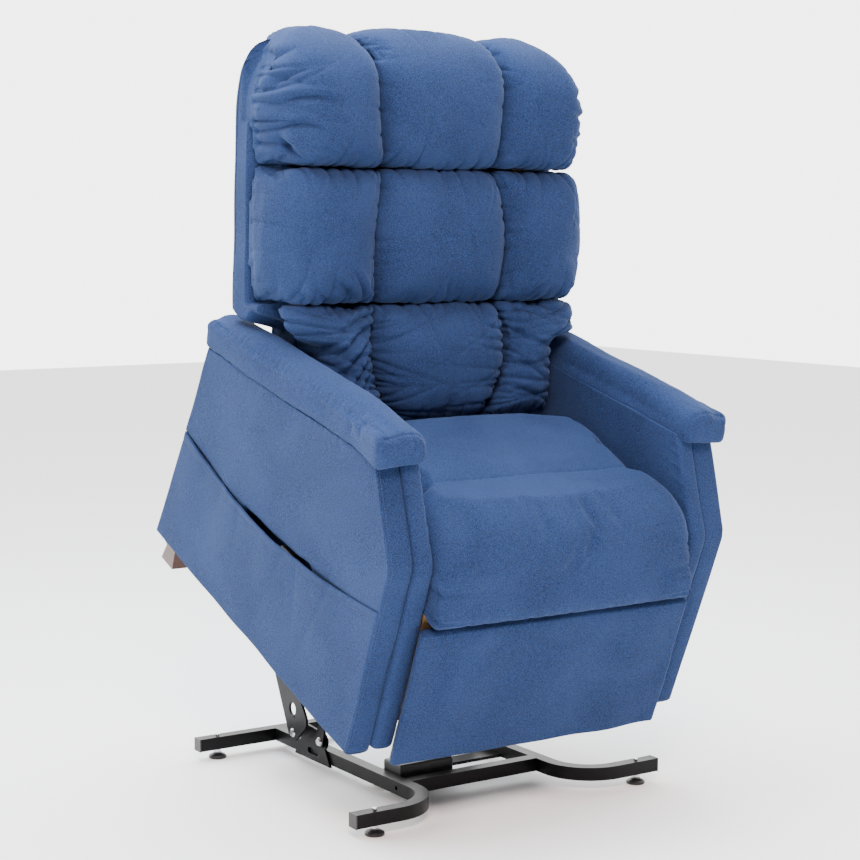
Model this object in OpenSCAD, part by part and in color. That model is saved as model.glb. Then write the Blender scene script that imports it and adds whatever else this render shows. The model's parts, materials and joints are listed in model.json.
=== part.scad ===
// Lift recliner chair with a tufted back, standing in its raised position.
// Millimetres, +Z up, the sitter faces -Y. The origin is on the floor, at the middle of the chair's outline.
// Soft and wooden pieces are drawn level, as the chair sits when it is lowered, and one transform raises them.

/* [Overall] */
// Width over the two side panels
overall_w = 734; // [700:2:880]
// Clear width of the seat between the arms
seat_w = 559; // [536:1:670]
// Length of a side panel along its lower edge
panel_len = 813; // [760:1:900]
// Height of the arm seam above the panel's lower edge, at the front
arm_front_h = 523; // [480:1:600]
// Height of the arm seam above the panel's lower edge, at the rear
arm_rear_h = 446; // [420:1:480]
// Height of the seat's crown above the panel's lower edge
seat_crown_h = 447; // [430:1:480]
// Length of the back cushions from the back's hinge line to the top
back_len = 797; // [740:1:960]
// Lean of the back from upright when the chair sits level
back_rake = 19; // [14:0.5:24]

/* [Raised position] */
// Forward tilt of the raised chair
lift_tilt = 21.7; // [18:0.1:24]
// Front lower corner of the side panels, behind the front feet
raise_y = -19; // [-40:1:20]
// Front lower corner of the side panels, above the floor
raise_z = 159; // [140:1:190]
// Distance from the front feet back to the origin
origin_y = 262.6; // [200:0.1:340]

/* [Base] */
// Distance between the left and right feet
foot_track = 594; // [560:1:720]
// Distance between the front and rear feet
foot_base = 609; // [560:1:680]
// Width of the square base tube
tube_w = 25.4; // [22:0.1:30]
// Wall of the square base tube
tube_t = 1.8; // [1.2:0.1:3]
// Underside of the base tubes above the floor
tube_z = 20; // [16:0.5:26]
// Distance between the centre lines of the two side rails
rail_track = 314; // [290:1:350]
// Centre line radius of the bend at the front of each rail
bend_r = 87.5; // [70:0.5:110]
// Length of the tube beyond each foot
tube_overhang = 43; // [25:1:60]
// Centre line of the front cross tube behind the front feet
front_tube_y = 130; // [110:1:150]
// Diameter of the levelling feet
foot_d = 36; // [28:1:50]

/* [Lift linkage] */
// Rear lift link's pivot on the base, behind the front feet and above the floor
rear_base_pivot = [470, 68];
// Front lift link's pivot on the base
front_base_pivot = [396, 63];
// Rear lift link's pivot on the chair, from the front lower corner of the side panel
rear_chair_pivot = [745, 30];
// Front lift link's pivot on the chair
front_chair_pivot = [600, 30];
// Lift motor's pivot on the base
motor_pivot = [257, 90];
// Lift motor's pivot on the chair
motor_head = [296, 178];
// Length of the lift actuator's outer tube, beyond its pivot
lift_tube_len = 205; // [170:1:215]
// Thickness of the link plates
link_t = 5; // [4:0.5:6]
// Radius of the lift pivots
lift_pin_r = 6; // [5:0.5:7]

/* [Leg rest linkage] */
// Drive link's pivot on the mechanism plate
leg_pivot_a = [180, 199];
// Control link's pivot on the mechanism plate
leg_pivot_b = [122, 215];
// Length of the drive link
leg_link_1 = 204; // [190:1:210]
// Direction of the folded drive link, below straight ahead
leg_angle_1 = -122.66; // [-126:0.01:-119]
// Length of the outer link
leg_link_2 = 327; // [315:1:335]
// Direction of the outer link, above straight ahead
leg_angle_2 = 35.05; // [33:0.01:37]
// Control link's outer pivot, along and square to its length
leg_knee = [233.1, 32];
// Steering bar's pivot on the board, from the outer link's pivot
board_pivot = [-16, -45.2];
// Thickness of the leg rest links
leg_t = 4; // [3:0.5:4.5]
// Radius of the leg rest rivets
rivet_r = 4; // [3:0.5:5]

/* [Back] */
// Hinge line of the back, from the front lower corner of the side panel
back_hinge = [565, 300];
// Full width of the upper two cushion rows
back_w = 690; // [640:2:730]
// Widths of the row seams above the hinge line, along the back
row_low = 54; // [50:1:70]
row_mid = 288; // [276:1:300]
row_top = 540; // [520:1:560]
// Half the width of the middle column
column_half = 143; // [130:1:160]
// Front of the cushions ahead of the hinge line
lobe_front = 188; // [180:1:200]
// Rear of the cushions ahead of the hinge line
lobe_rear = 62; // [58:1:70]
// Rear face of the outer back behind the hinge line
back_rear = 50; // [40:1:60]
// Recline motor's pivot on the chair
recline_fixed = [296, 140];
// Radius of the recline lever from the hinge line
recline_lever_r = 60; // [50:1:70]
// Direction of the recline lever, from straight back
recline_lever_angle = -58; // [-64:1:-52]

/* [Upholstery] */
// Thickness of the outer side panel's skin
skin = 14; // [10:1:16]
// Width of the flat strip down the front of each arm
strip_w = 47; // [44:1:60]
// Height of the arm pad above its seam
pad_h = 66; // [56:1:72]
// Overhang of the arm pad past the side panel
pad_over = 8; // [2:1:12]
// Height of the leg rest board
board_h = 272; // [250:1:280]
// Thickness of the leg rest board's pad
board_pad = 14; // [10:1:16]
// Height of the wooden rest blocks under the rear corners
rest_block_h = 57; // [50:1:59]

/* [Hidden] */
$fn = 40;

play = 0.05;            // radial clearance of a pin in its hole
gap = 0.5;              // space between moving plates and spacers
rod_gap = 0.1;          // radial clearance of a rod in its tube
panel_half = overall_w / 2;
seat_half = seat_w / 2;
arm_inner = seat_half + 3.5;
rail_x = rail_track / 2;
rail_out = rail_x + tube_w / 2;
rail_top = tube_z + tube_w;
rail_mid = tube_z + tube_w / 2;
foot_x = foot_track / 2;
tube_end = foot_x + tube_overhang;

// Across the lift linkage, from the rail outwards: bracket, front link, chair rail, rear link
bracket_x = rail_out;
front_link_x = bracket_x + link_t + gap * 3;
chair_rail_x = front_link_x + link_t + gap * 3;
rear_link_x = chair_rail_x + link_t + 6.5;

// Across the leg rest linkage, from the mechanism plate inwards
mech_x = 246;
mech_t = 4;
drive_x = mech_x - 2 - leg_t;
outer_x = drive_x - 2 - leg_t;
control_x = outer_x - 2 - leg_t;
steer_x = control_x - 2 - leg_t;

function turn(p, a) = [p.x * cos(a) - p.y * sin(a), p.x * sin(a) + p.y * cos(a)];
function raised(p) = [raise_y, raise_z] + turn(p, lift_tilt);
function level(p) = turn(p - [raise_y, raise_z], -lift_tilt);
function direction(p, q) = atan2(q.y - p.y, q.x - p.x);
// Unit vector at an angle above straight ahead, for the leg rest
function ahead(a) = [-cos(a), sin(a)];

// ---- Frames ----

module feet_frame() translate([0, -origin_y, 0]) children();
module chair_frame() translate([0, raise_y - origin_y, raise_z]) rotate([lift_tilt, 0, 0]) children();
module back_local() translate([0, back_hinge.x, back_hinge.y]) rotate([-back_rake, 0, 0]) children();
module back_frame_of() chair_frame() back_local() children();
module both() {
  children();
  mirror([1, 0, 0]) children();
}
module left() mirror([1, 0, 0]) children();

// ---- Shapes shared by several pieces ----

// An outline in the side view, made solid between two distances from the middle plane
module plate(x0, x1) translate([x0, 0, 0]) rotate([90, 0, 90]) linear_extrude(x1 - x0) children();
// A pin or bore along X through a point of the side view
module across(p, x0, x1, r) translate([x0, p.x, p.y]) rotate([0, 90, 0]) cylinder(r = r, h = x1 - x0);
module disc(p, r) translate(p) circle(r);
// Straight-sided blend between two circles. Its sides sit a hair inside the outer tangents, so that they
// cross the circles cleanly.
belt_inset = 0.998;
module belt(p, q, rp, rq) {
  a = direction(p, q);
  b = acos((rp - rq) / norm(q - p));
  u1 = [cos(a + b), sin(a + b)] * belt_inset;
  u2 = [cos(a - b), sin(a - b)] * belt_inset;
  polygon([p + rp * u1, p + rp * u2, q + rq * u2, q + rq * u1]);
  disc(p, rp);
  disc(q, rq);
}
module square_tube(l) linear_extrude(l) difference() {
  square(tube_w, center = true);
  square(tube_w - 2 * tube_t, center = true);
}
module hex(r, h) cylinder(r = r, h = h, $fn = 6);
// A pivot bolt along X with a domed head outside and a nut inside
module pivot_bolt(p, x0, x1, r) {
  across(p, x0 - gap, x1 + gap, r);
  translate([x0 - gap - r * 0.8, p.x, p.y]) rotate([0, 90, 0]) hex(r * 1.6, r * 0.8);
  translate([x1 + gap, p.x, p.y]) rotate([0, 90, 0]) cylinder(r1 = r * 1.5, r2 = r * 1.1, h = r * 0.6, $fn = 40);
}

// ---- Base ----

module base_rail() color("#101012") feet_frame() {
  difference() {
    union() {
      translate([rail_x, bend_r, rail_mid]) rotate([-90, 0, 0]) square_tube(foot_base - tube_w / 2 - bend_r);
      translate([rail_x + bend_r, bend_r, rail_mid]) rotate([0, 0, 180]) rotate_extrude(angle = 90)
        translate([bend_r, 0]) difference() {
          square(tube_w, center = true);
          square(tube_w - 2 * tube_t, center = true);
        }
      translate([rail_x + bend_r, 0, rail_mid]) rotate([0, 90, 0]) square_tube(tube_end - rail_x - bend_r);
    }
    translate([foot_x, 0, 0]) cylinder(r = 4.2, h = 60);
    across([front_tube_y, rail_mid], rail_x - 20, rail_x + 20, 4.2);
  }
}
module base_front_tube() color("#101012") feet_frame()
  translate([-rail_x + tube_w / 2, front_tube_y, rail_mid]) rotate([0, 90, 0]) square_tube(rail_track - tube_w);
module base_rear_tube() color("#101012") feet_frame() difference() {
  translate([-tube_end, foot_base, rail_mid]) rotate([0, 90, 0]) square_tube(2 * tube_end);
  both() translate([foot_x, foot_base, 0]) cylinder(r = 4.2, h = 60);
}
cap_flange = 2.5;
module tube_end_caps() color("#050506") feet_frame() both() for (y = [0, foot_base])
  translate([tube_end, y, rail_mid]) rotate([0, 90, 0]) {
    linear_extrude(cap_flange) square(tube_w + 1, center = true);
    translate([0, 0, -12]) linear_extrude(12) square(tube_w - 2 * tube_t - 0.4, center = true);
  }
pad_top = 11;
module foot_pads() color("#08080a") feet_frame() both() for (y = [0, foot_base]) translate([foot_x, y, 0])
  rotate_extrude() polygon([
    [0, 0], [foot_d / 2 - 1.5, 0], [foot_d / 2, 1.5], [foot_d / 2, 5], [foot_d / 2 - 3, 7.5],
    [foot_d / 4, pad_top - 1], [foot_d / 4, pad_top], [4.1, pad_top], [4.1, 5], [0, 5]
  ]);
module foot_studs() color("#c8c8cc") feet_frame() both() for (y = [0, foot_base]) translate([foot_x, y, 0]) {
  translate([0, 0, 5]) cylinder(r = 4, h = rail_top - 1);
  translate([0, 0, tube_z - 6.5]) hex(7.4, 6.3);
}
// Upright plate on the outside of each rail: it carries both lift links
bracket_foot = 16;
module lift_bracket() color("#101012") feet_frame() difference() {
  plate(bracket_x, bracket_x + link_t) difference() {
    union() {
      belt(front_base_pivot, rear_base_pivot, 17, 18);
      polygon([
        front_base_pivot, [front_base_pivot.x - 30, bracket_foot],
        [rear_base_pivot.x + 36, bracket_foot], rear_base_pivot
      ]);
    }
    disc(front_base_pivot, lift_pin_r + play);
    disc(rear_base_pivot, lift_pin_r + play);
    belt([front_base_pivot.x + 22, 34], [rear_base_pivot.x - 22, 34], 6, 6);
  }
}
// Flat bar between the rails with the two ears that hold the lift motor
motor_ear_x = 20;
ear_t = 4;
module motor_bar() color("#101012") feet_frame() {
  translate([-rail_x + tube_w / 2, motor_pivot.x - 20, tube_z]) cube([rail_track - tube_w, 40, 6]);
  both() plate(motor_ear_x, motor_ear_x + ear_t) difference() {
    union() {
      polygon([
        [motor_pivot.x - 19, tube_z + 6], [motor_pivot.x + 19, tube_z + 6],
        motor_pivot + [12, 0], motor_pivot - [12, 0]
      ]);
      disc(motor_pivot, 12);
    }
    disc(motor_pivot, 5 + play);
  }
  across(motor_pivot, -motor_ear_x - ear_t - 3, motor_ear_x + ear_t + 3, 5);
}
// Transformer box on a tray just behind the front tube, with the inlet for the mains lead
supply = [120, 62, 44];
module power_supply() color("#0b0b0d") feet_frame() {
  translate([-rail_x + tube_w / 2 + 4, front_tube_y + tube_w / 2 + 18, tube_z]) difference() {
    hull() for (x = [4, supply.x - 4], y = [4, supply.y - 4]) translate([x, y, 0]) {
      cylinder(r = 4, h = supply.z - 4, $fn = 24);
      translate([0, 0, supply.z - 4]) sphere(r = 4, $fn = 16);
    }
    translate([supply.x - 12, supply.y / 2 - 12, 12]) cube([20, 24, 18]);
  }
}
module base_pivot_bolts() color("#c8c8cc") feet_frame() both() {
  pivot_bolt(rear_base_pivot, bracket_x, rear_link_x + link_t, lift_pin_r);
  across(rear_base_pivot, bracket_x + link_t + gap, rear_link_x - gap, lift_pin_r + 3);
  pivot_bolt(front_base_pivot, bracket_x, front_link_x + link_t, lift_pin_r);
}

// ---- Lift linkage ----

rear_chair_at = raised(rear_chair_pivot);
front_chair_at = raised(front_chair_pivot);
// The wide foot of the rear link stands ahead of the line between its pivots
rear_link_len = norm(rear_chair_at - rear_base_pivot);
module rear_lift_link() plate(rear_link_x, rear_link_x + link_t) translate(rear_base_pivot)
  rotate(direction(rear_base_pivot, rear_chair_at)) difference() {
    shoulder = [14, 44];
    union() {
      belt([0, 0], [rear_link_len, 0], 18, 17);
      belt([0, 0], shoulder, 18, 20);
      belt(shoulder, [300, 2], 20, 16);
    }
    disc([0, 0], lift_pin_r + play);
    disc([rear_link_len, 0], lift_pin_r + play);
    disc([44, 20], 13);
    belt([120, 10], [190, 5], 9, 7);
  }
module rear_lift_links() color("#101012") feet_frame() both() rear_lift_link();
torque_at = [360, -10];
torque_r = 9;
module lift_torque_tube() color("#101012") feet_frame() {
  p = rear_base_pivot + turn(torque_at, direction(rear_base_pivot, rear_chair_at));
  difference() {
    across(p, -rear_link_x, rear_link_x, torque_r);
    across(p, -rear_link_x - 1, rear_link_x + 1, torque_r - 2);
  }
}
// The front link is cranked, so that it clears the rear link's bolt when the chair is down
front_link_len = norm(front_chair_at - front_base_pivot);
crank = [[0, 0], [42, 27], [120, 27], [front_link_len, 0]];
module front_lift_link() plate(front_link_x, front_link_x + link_t) translate(front_base_pivot)
  rotate(direction(front_base_pivot, front_chair_at)) difference() {
    for (i = [0:2]) belt(crank[i], crank[i + 1], 13, 13);
    disc([0, 0], lift_pin_r + play);
    disc(crank[3], lift_pin_r + play);
  }
// Each front link carries the bolt that turns in the wide hole of the chair rail
module front_lift_links() color("#101012") feet_frame() both() {
  front_lift_link();
  pivot_bolt(front_chair_at, front_link_x, chair_rail_x + link_t, lift_pin_r);
}

// Rail under the chair with a lug for each lift link and an outward flange
rail_v = [38, 78];
rail_u = [60, 782];
module lift_rail() color("#101012") chair_frame() {
  plate(chair_rail_x, chair_rail_x + link_t) difference() {
    union() {
      polygon([
        [rail_u[0] + 14, rail_v[0]], [rail_u[1], rail_v[0]],
        [rail_u[1], rail_v[1]], [rail_u[0], rail_v[1]], [rail_u[0], rail_v[0] + 14]
      ]);
      for (p = [front_chair_pivot, rear_chair_pivot]) belt(p, p + [0, 26], 17, 20);
    }
    disc(front_chair_pivot, lift_pin_r + 2.1);
    disc(rear_chair_pivot, lift_pin_r + play);
    for (u = [130, 230, 420, 520]) belt([u, 56], [u + 40, 56], 9, 9);
  }
  translate([chair_rail_x + link_t, rail_u[0], rail_v[1] - 3]) cube([22, rail_u[1] - rail_u[0], 3]);
}
module chair_pivot_bolts() color("#c8c8cc") chair_frame() both() {
  pivot_bolt(rear_chair_pivot, chair_rail_x, rear_link_x + link_t, lift_pin_r);
  across(rear_chair_pivot, chair_rail_x + link_t + gap, rear_link_x - gap, lift_pin_r + 3);
}

// ---- Chair structure ----

cross_v = rail_v[1] + tube_w / 2;
cross_u = [360, 690];
module chair_cross_tubes() color("#101012") chair_frame() for (u = cross_u)
  translate([-arm_inner + 0.2, u, cross_v]) rotate([0, 90, 0]) square_tube(2 * arm_inner - 0.4);
seat_tube = [330, 205];
module seat_cross_tube() color("#101012") chair_frame() {
  translate([-mech_x, seat_tube.x, seat_tube.y]) rotate([0, 90, 0]) square_tube(2 * mech_x);
  both() plate(motor_ear_x, motor_ear_x + ear_t) actuator_ear(motor_head);
  for (x = [recline_x - motor_ear_x - ear_t, recline_x + motor_ear_x])
    plate(x, x + ear_t) actuator_ear(recline_fixed);
  across(motor_head, -motor_ear_x - ear_t - 3, motor_ear_x + ear_t + 3, 5);
  across(recline_fixed, recline_x - motor_ear_x - ear_t - 3, recline_x + motor_ear_x + ear_t + 3, 5);
}
// Ear that hangs from the front face of the seat cross tube
module actuator_ear(p) difference() {
  union() {
    disc(p, 12);
    polygon([
      p + [-11, 4], p + [6, -11], [seat_tube.x - tube_w / 2, seat_tube.y - tube_w / 2 - 8],
      [seat_tube.x - tube_w / 2, seat_tube.y + tube_w / 2]
    ]);
  }
  disc(p, 4.9);
}
// Side plate of the recliner mechanism, with its flange under the seat frame
mech_v = [166, 239];
module mechanism() color("#1a1a1c") chair_frame() {
  plate(mech_x, mech_x + mech_t) difference() {
    union() {
      polygon([
        [66, mech_v[0] + 26], [92, mech_v[0]], [cross_u[0] - 60, mech_v[0]], [cross_u[0] - 22, cross_v + tube_w / 2],
        [cross_u[0] + 22, cross_v + tube_w / 2], [cross_u[0] + 60, mech_v[0]], [cross_u[1] - 140, mech_v[0]],
        [cross_u[1] - 20, cross_v + tube_w / 2], [cross_u[1] + 20, cross_v + tube_w / 2],
        [back_hinge.x + 34, back_hinge.y - 30], [back_hinge.x - 34, back_hinge.y - 30], [510, mech_v[1]],
        [66, mech_v[1]]
      ]);
      belt(back_hinge, back_hinge - [0, 52], 20, 29);
    }
    disc(back_hinge, lift_pin_r + play);
    disc(leg_pivot_a, rivet_r + play);
    disc(leg_pivot_b, rivet_r + play);
    for (u = [250, 440]) belt([u, 204], [u + 50, 204], 14, 14);
    belt([590, 190], [640, 150], 15, 12);
  }
  translate([mech_x + mech_t, 66, mech_v[1] - 3]) cube([18, 440, 3]);
}
// Hardwood seat frame: two sides, a front rail and a rear rail
seat_u = [5, 483];
seat_v = [mech_v[1], mech_v[1] + 38];
board_t = 27;
module seat_frame() color("#c49a62") chair_frame() {
  both() translate([mech_x - 6, seat_u[0] + board_t + 0.2, seat_v[0]])
    cube([board_t, seat_u[1] - seat_u[0] - 2 * board_t - 0.4, seat_v[1] - seat_v[0]]);
  for (u = [seat_u[0], seat_u[1] - board_t]) translate([-mech_x - board_t + 6, u, seat_v[0]])
    cube([2 * (mech_x + board_t - 6), board_t, seat_v[1] - seat_v[0]]);
}
// One no-sag spring: a wire that winds from side to side between the front and rear rails
wire_r = 1.9;
spring_loops = 14;
spring_half_w = 22;
function spring_point(s, bow, l) = [
  spring_half_w * cos(180 * spring_loops * s) * (1 - 0.15 * cos(360 * spring_loops * s)),
  l * s, bow * sin(180 * s)
];
module wire(pts, r, sides) {
  n = len(pts);
  rings = [for (i = [0:n - 1]) let (
    d = pts[min(i + 1, n - 1)] - pts[max(i - 1, 0)],
    t = d / norm(d),
    b = cross(t, [0, 0, 1]) / norm(cross(t, [0, 0, 1])),
    c = cross(b, t)
  ) for (k = [0:sides - 1]) pts[i] + r * (b * cos(360 * k / sides) + c * sin(360 * k / sides))];
  polyhedron(rings, concat(
    [[for (k = [0:sides - 1]) k]],
    [for (i = [0:n - 2], k = [0:sides - 1]) [
      i * sides + k, (i + 1) * sides + k, (i + 1) * sides + (k + 1) % sides, i * sides + (k + 1) % sides
    ]],
    [[for (k = [sides - 1:-1:0]) (n - 1) * sides + k]]
  ));
}
module seat_springs() color("#8a8d92") chair_frame() for (i = [-2:2]) {
  l = seat_u[1] - seat_u[0] - 2 * board_t - 1;
  translate([i * 92, seat_u[0] + board_t + 0.5, seat_v[1] - 22])
    wire([for (k = [0:6 * spring_loops]) spring_point(k / (6 * spring_loops), 14, l)], wire_r, 6);
}
// Seat cushion with its rounded front
seat_front = -58;
cushion_v = seat_v[1] + 1;
module seat_cushion() color("#3f6494") chair_frame() intersection() {
  seat_profile();
  translate([0, seat_u[1], 0]) rotate([90, 0, 0]) linear_extrude(seat_u[1] - seat_front + 20) polygon([
    [-seat_half, 0], [-seat_half, seat_crown_h - 34], [-seat_half + 10, seat_crown_h - 14],
    [-seat_half + 44, seat_crown_h - 3], [0, seat_crown_h + 1], [seat_half - 44, seat_crown_h - 3],
    [seat_half - 10, seat_crown_h - 14], [seat_half, seat_crown_h - 34], [seat_half, 0]
  ]);
}
module seat_profile() plate(-seat_half, seat_half) polygon([
  [seat_u[1] - 10, cushion_v], [seat_front + 12, cushion_v], [seat_front, cushion_v + 14],
  [seat_front - 6, cushion_v + 62], [seat_front + 2, cushion_v + 112], [seat_front + 26, cushion_v + 146],
  [seat_front + 72, seat_crown_h - 3], [seat_front + 150, seat_crown_h], [320, seat_crown_h - 4],
  [378, seat_crown_h - 12], [404, seat_crown_h - 38], [seat_u[1] - 10, seat_crown_h - 68]
]);

// ---- Arms ----

elbow = [-9.5, 374];
arm_front = [99, arm_front_h];
arm_rear = [panel_len - 85, arm_rear_h];
arm_outline = [[0, 0], elbow, arm_front, arm_rear, [panel_len, 0]];
// The arm frame's boards, clear of each other and inside the upholstery
module arm_frame() color("#c49a62") chair_frame() plate(panel_half - skin - 31, panel_half - skin - 1) {
  inner = skin + 2;
  polygon([[inner + 52, 12], [panel_len - 62, 12], [panel_len - 68, 62], [inner + 51, 62]]);
  polygon([[inner, 12], [inner + 51.8, 12], [inner + 48, 366], [150, 452], [116, arm_front_h - 20], [inner - 2, 374]]);
  polygon([
    [152, 454], [arm_rear.x - 66, arm_rear_h - 50], [arm_rear.x - 66, arm_rear_h - 4], [118, arm_front_h - 20]
  ]);
  polygon([
    [panel_len - 61, 12], [panel_len - 20, 12], [arm_rear.x - 18, arm_rear_h - 6], [arm_rear.x - 65, arm_rear_h]
  ]);
}
// Outer panel with the strips that return around the front and rear of the arm
mouth_front = [-3, 291];
mouth_rear = [panel_len - 56, 253];
mouth_sag = 40;
mouth_gape = 12;        // height of the pocket's way in above its mouth
function mouth(t) = mouth_front + t * (mouth_rear - mouth_front) - [0, 4 * mouth_sag * t * (1 - t)];
module pocket_outline(lift) polygon(concat(
  [for (i = [0:12]) mouth(i / 12) + [0, lift]],
  [[panel_len - 1, -1], [-1, -1]]
));
tray_u = [225, 485];
tray_v = [70, 262];
tray_depth = 20;
module side_panel(pocket) color("#3f6494") chair_frame() {
  difference() {
    union() {
      plate(panel_half - skin, panel_half) polygon(arm_outline);
      plate(panel_half - strip_w, panel_half - skin) polygon([
        [0, 0], elbow, arm_front, arm_front + [10, -12], elbow + [skin, -4], [skin, 0]
      ]);
      plate(arm_inner, panel_half - skin) polygon([
        [panel_len - skin, 0], [panel_len, 0], arm_rear + [0, -8], arm_rear + [-skin, -8]
      ]);
    }
    if (pocket) {
      plate(panel_half - 3.4, panel_half + 1) pocket_outline(0);
      plate(panel_half - skin - 1, panel_half + 1) polygon(concat(
        [[tray_u[0], tray_v[0]], [tray_u[1], tray_v[0]]],
        [for (k = [6:-1:0]) mouth((tray_u[0] + k / 6 * (tray_u[1] - tray_u[0]) - mouth_front.x) / panel_len) + [0, mouth_gape]]
      ));
    }
  }
}
module arm_inner_pad() color("#3f6494") chair_frame() plate(arm_inner, panel_half - strip_w - 0.3) polygon([
  [-2, 8], [2, 384], [88, 500], [108, arm_front_h - 12], [arm_rear.x - 20, arm_rear_h - 8],
  [panel_len - skin - 8, 8]
]);
// Top pad: its section is carried along the slope of the arm
pad_inner = arm_inner - 4;
module arm_pad() color("#3f6494") chair_frame() {
  slope = atan2(arm_front_h - arm_rear_h, arm_rear.x - arm_front.x);
  translate([0, arm_front.x - 30, arm_front_h + 30 * tan(slope) + 1]) rotate([-slope, 0, 0])
    translate([0, arm_rear.x - arm_front.x + 50, 0]) rotate([90, 0, 0]) linear_extrude(arm_rear.x - arm_front.x + 50)
      polygon([
        [pad_inner, 4], [pad_inner + 10, 0], [panel_half + pad_over - 6, 0], [panel_half + pad_over, 6],
        [panel_half + pad_over, pad_h - 18], [panel_half + pad_over - 5, pad_h - 9], [panel_half - 10, pad_h - 3],
        [(pad_inner + panel_half) / 2, pad_h], [pad_inner + 30, pad_h - 3], [pad_inner + 10, pad_h - 11],
        [pad_inner, pad_h - 24]
      ]);
}
// Side pocket: a loose panel whose mouth sags, and a liner tray behind it
module pocket_panel() color("#3f6494") chair_frame() left() plate(panel_half - 3, panel_half) difference() {
  pocket_outline(-0.4);
  translate([-30, -30]) square([panel_len + 60, 30.5]);
  polygon([[panel_len - 1.5, 0], mouth_rear - [1, 0], mouth_rear + [0, 60], [panel_len + 50, 60], [panel_len + 50, 0]]);
}
module pocket_liner() color("#22344d") chair_frame() left() {
  x0 = panel_half - skin - tray_depth - 2;
  translate([x0, tray_u[0] - 2, tray_v[0] - 2]) difference() {
    cube([tray_depth + 1.7, tray_u[1] - tray_u[0] + 4, tray_v[1] - tray_v[0] + 4]);
    translate([2, 2, 2]) cube([tray_depth, tray_u[1] - tray_u[0], tray_v[1] - tray_v[0]]);
  }
}
// Wooden blocks under the rear corners, on which the lowered chair rests
module rest_blocks() color("#4a2f23") chair_frame() both()
  translate([panel_half - skin - 33, panel_len - 70, -rest_block_h]) difference() {
    cube([33, 52, rest_block_h + 11.8]);
    translate([-1, 52, -1]) rotate([20, 0, 0]) cube([36, 30, 40]);
  }

// ---- Handset ----

handset_size = [20, 50, 150];
handset_at = [panel_half - 5 - handset_size.x, 300, tray_v[0] + 6];
button_r = 6.5;
button_travel = 1.2;
button_v = [116, 96, 66, 46];
module handset() color("#17181b") chair_frame() left() translate(handset_at) difference() {
  hull() for (y = [9, handset_size.y - 9], z = [9, handset_size.z - 9]) translate([0, y, z]) rotate([0, 90, 0]) {
    cylinder(r = 7, h = handset_size.x, $fn = 32);
    translate([0, 0, 3]) cylinder(r = 9, h = handset_size.x - 6, $fn = 32);
  }
  for (v = button_v) across([handset_size.y / 2, v], handset_size.x - 5, handset_size.x + 1, button_r + 0.15);
}
module handset_button(i, c) color(c) chair_frame() left() translate(handset_at)
  translate([handset_size.x - 5 + button_travel + 0.2, handset_size.y / 2, button_v[i]]) rotate([0, 90, 0]) {
    cylinder(r = button_r, h = 4.2);
    translate([0, 0, 4.2]) cylinder(r1 = button_r, r2 = button_r - 1, h = 0.8);
  }

// ---- Actuators ----

actuator_r = 17;
rod_r = 9;
// Gear housing, motor can and outer tube, along X from the pivot at the origin
module actuator_body(tube_len, motor_side) difference() {
  union() {
    rotate([90, 0, 0]) cylinder(r = 15, h = 34, center = true);
    translate([0, -17, -15]) cube([34, 34, 30]);
    translate([26, 0, 0]) rotate([0, 90, 0]) cylinder(r = 26, h = 34);
    translate([60, 0, 0]) rotate([0, 90, 0]) cylinder(r = actuator_r, h = tube_len - 60);
    translate([tube_len - 14, 0, 0]) rotate([0, 90, 0]) cylinder(r = actuator_r + 3, h = 14);
    translate([43, 0, 0]) rotate([motor_side * -90, 0, 0]) cylinder(r = 19, h = 92);
    translate([43, 0, 0]) rotate([motor_side * -90, 0, 0]) translate([0, 0, 92]) cylinder(r = 13, h = 7);
  }
  rotate([90, 0, 0]) cylinder(r = 5 + play, h = 60, center = true);
  translate([70, 0, 0]) rotate([0, 90, 0]) cylinder(r = rod_r + rod_gap, h = tube_len);
}
// Rod with a flat eye at its far pivot; the eye's slot leaves room for the coupled motion
module actuator_rod(l, tube_len, slot_half) difference() {
  union() {
    translate([tube_len - 12, 0, 0]) rotate([0, 90, 0]) cylinder(r = rod_r, h = l - tube_len + 2);
    rotate([90, 0, 0]) translate([l, 0, -10]) cylinder(r = 15, h = 20);
  }
  rotate([90, 0, 0]) translate([l, 0, -20]) linear_extrude(40) belt([0, -slot_half], [0, slot_half], 7, 7);
}
// Places a child that lies along X between two points of the side view
module along(p, q) translate([0, p.x, p.y]) rotate([90, 0, 90]) rotate([0, 0, direction(p, q)]) rotate([90, 0, 0]) children();
motor_head_at = raised(motor_head);
lift_len = norm(motor_head_at - motor_pivot);
module lift_motor() color("#141416") feet_frame() along(motor_pivot, motor_head_at) actuator_body(lift_tube_len, 1);
module lift_rod() color("#c8c8cc") feet_frame() along(motor_pivot, motor_head_at)
  actuator_rod(lift_len, lift_tube_len, 0.5);
recline_x = 95;
recline_lever = back_hinge + recline_lever_r * [cos(recline_lever_angle), sin(recline_lever_angle)];
recline_len = norm(recline_lever - recline_fixed);
recline_tube_len = 215;
module recline_motor() color("#141416") chair_frame() translate([recline_x, 0, 0])
  along(recline_fixed, recline_lever) actuator_body(recline_tube_len, 1);
module recline_rod() color("#c8c8cc") chair_frame() translate([recline_x, 0, 0])
  along(recline_fixed, recline_lever) actuator_rod(recline_len, recline_tube_len, 2.5);

// ---- Back ----

hinge_x = mech_x + mech_t + 2;
lower_half = arm_inner - 14;
upper_half = back_w / 2;
frame_y = [-56, -30];
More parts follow.
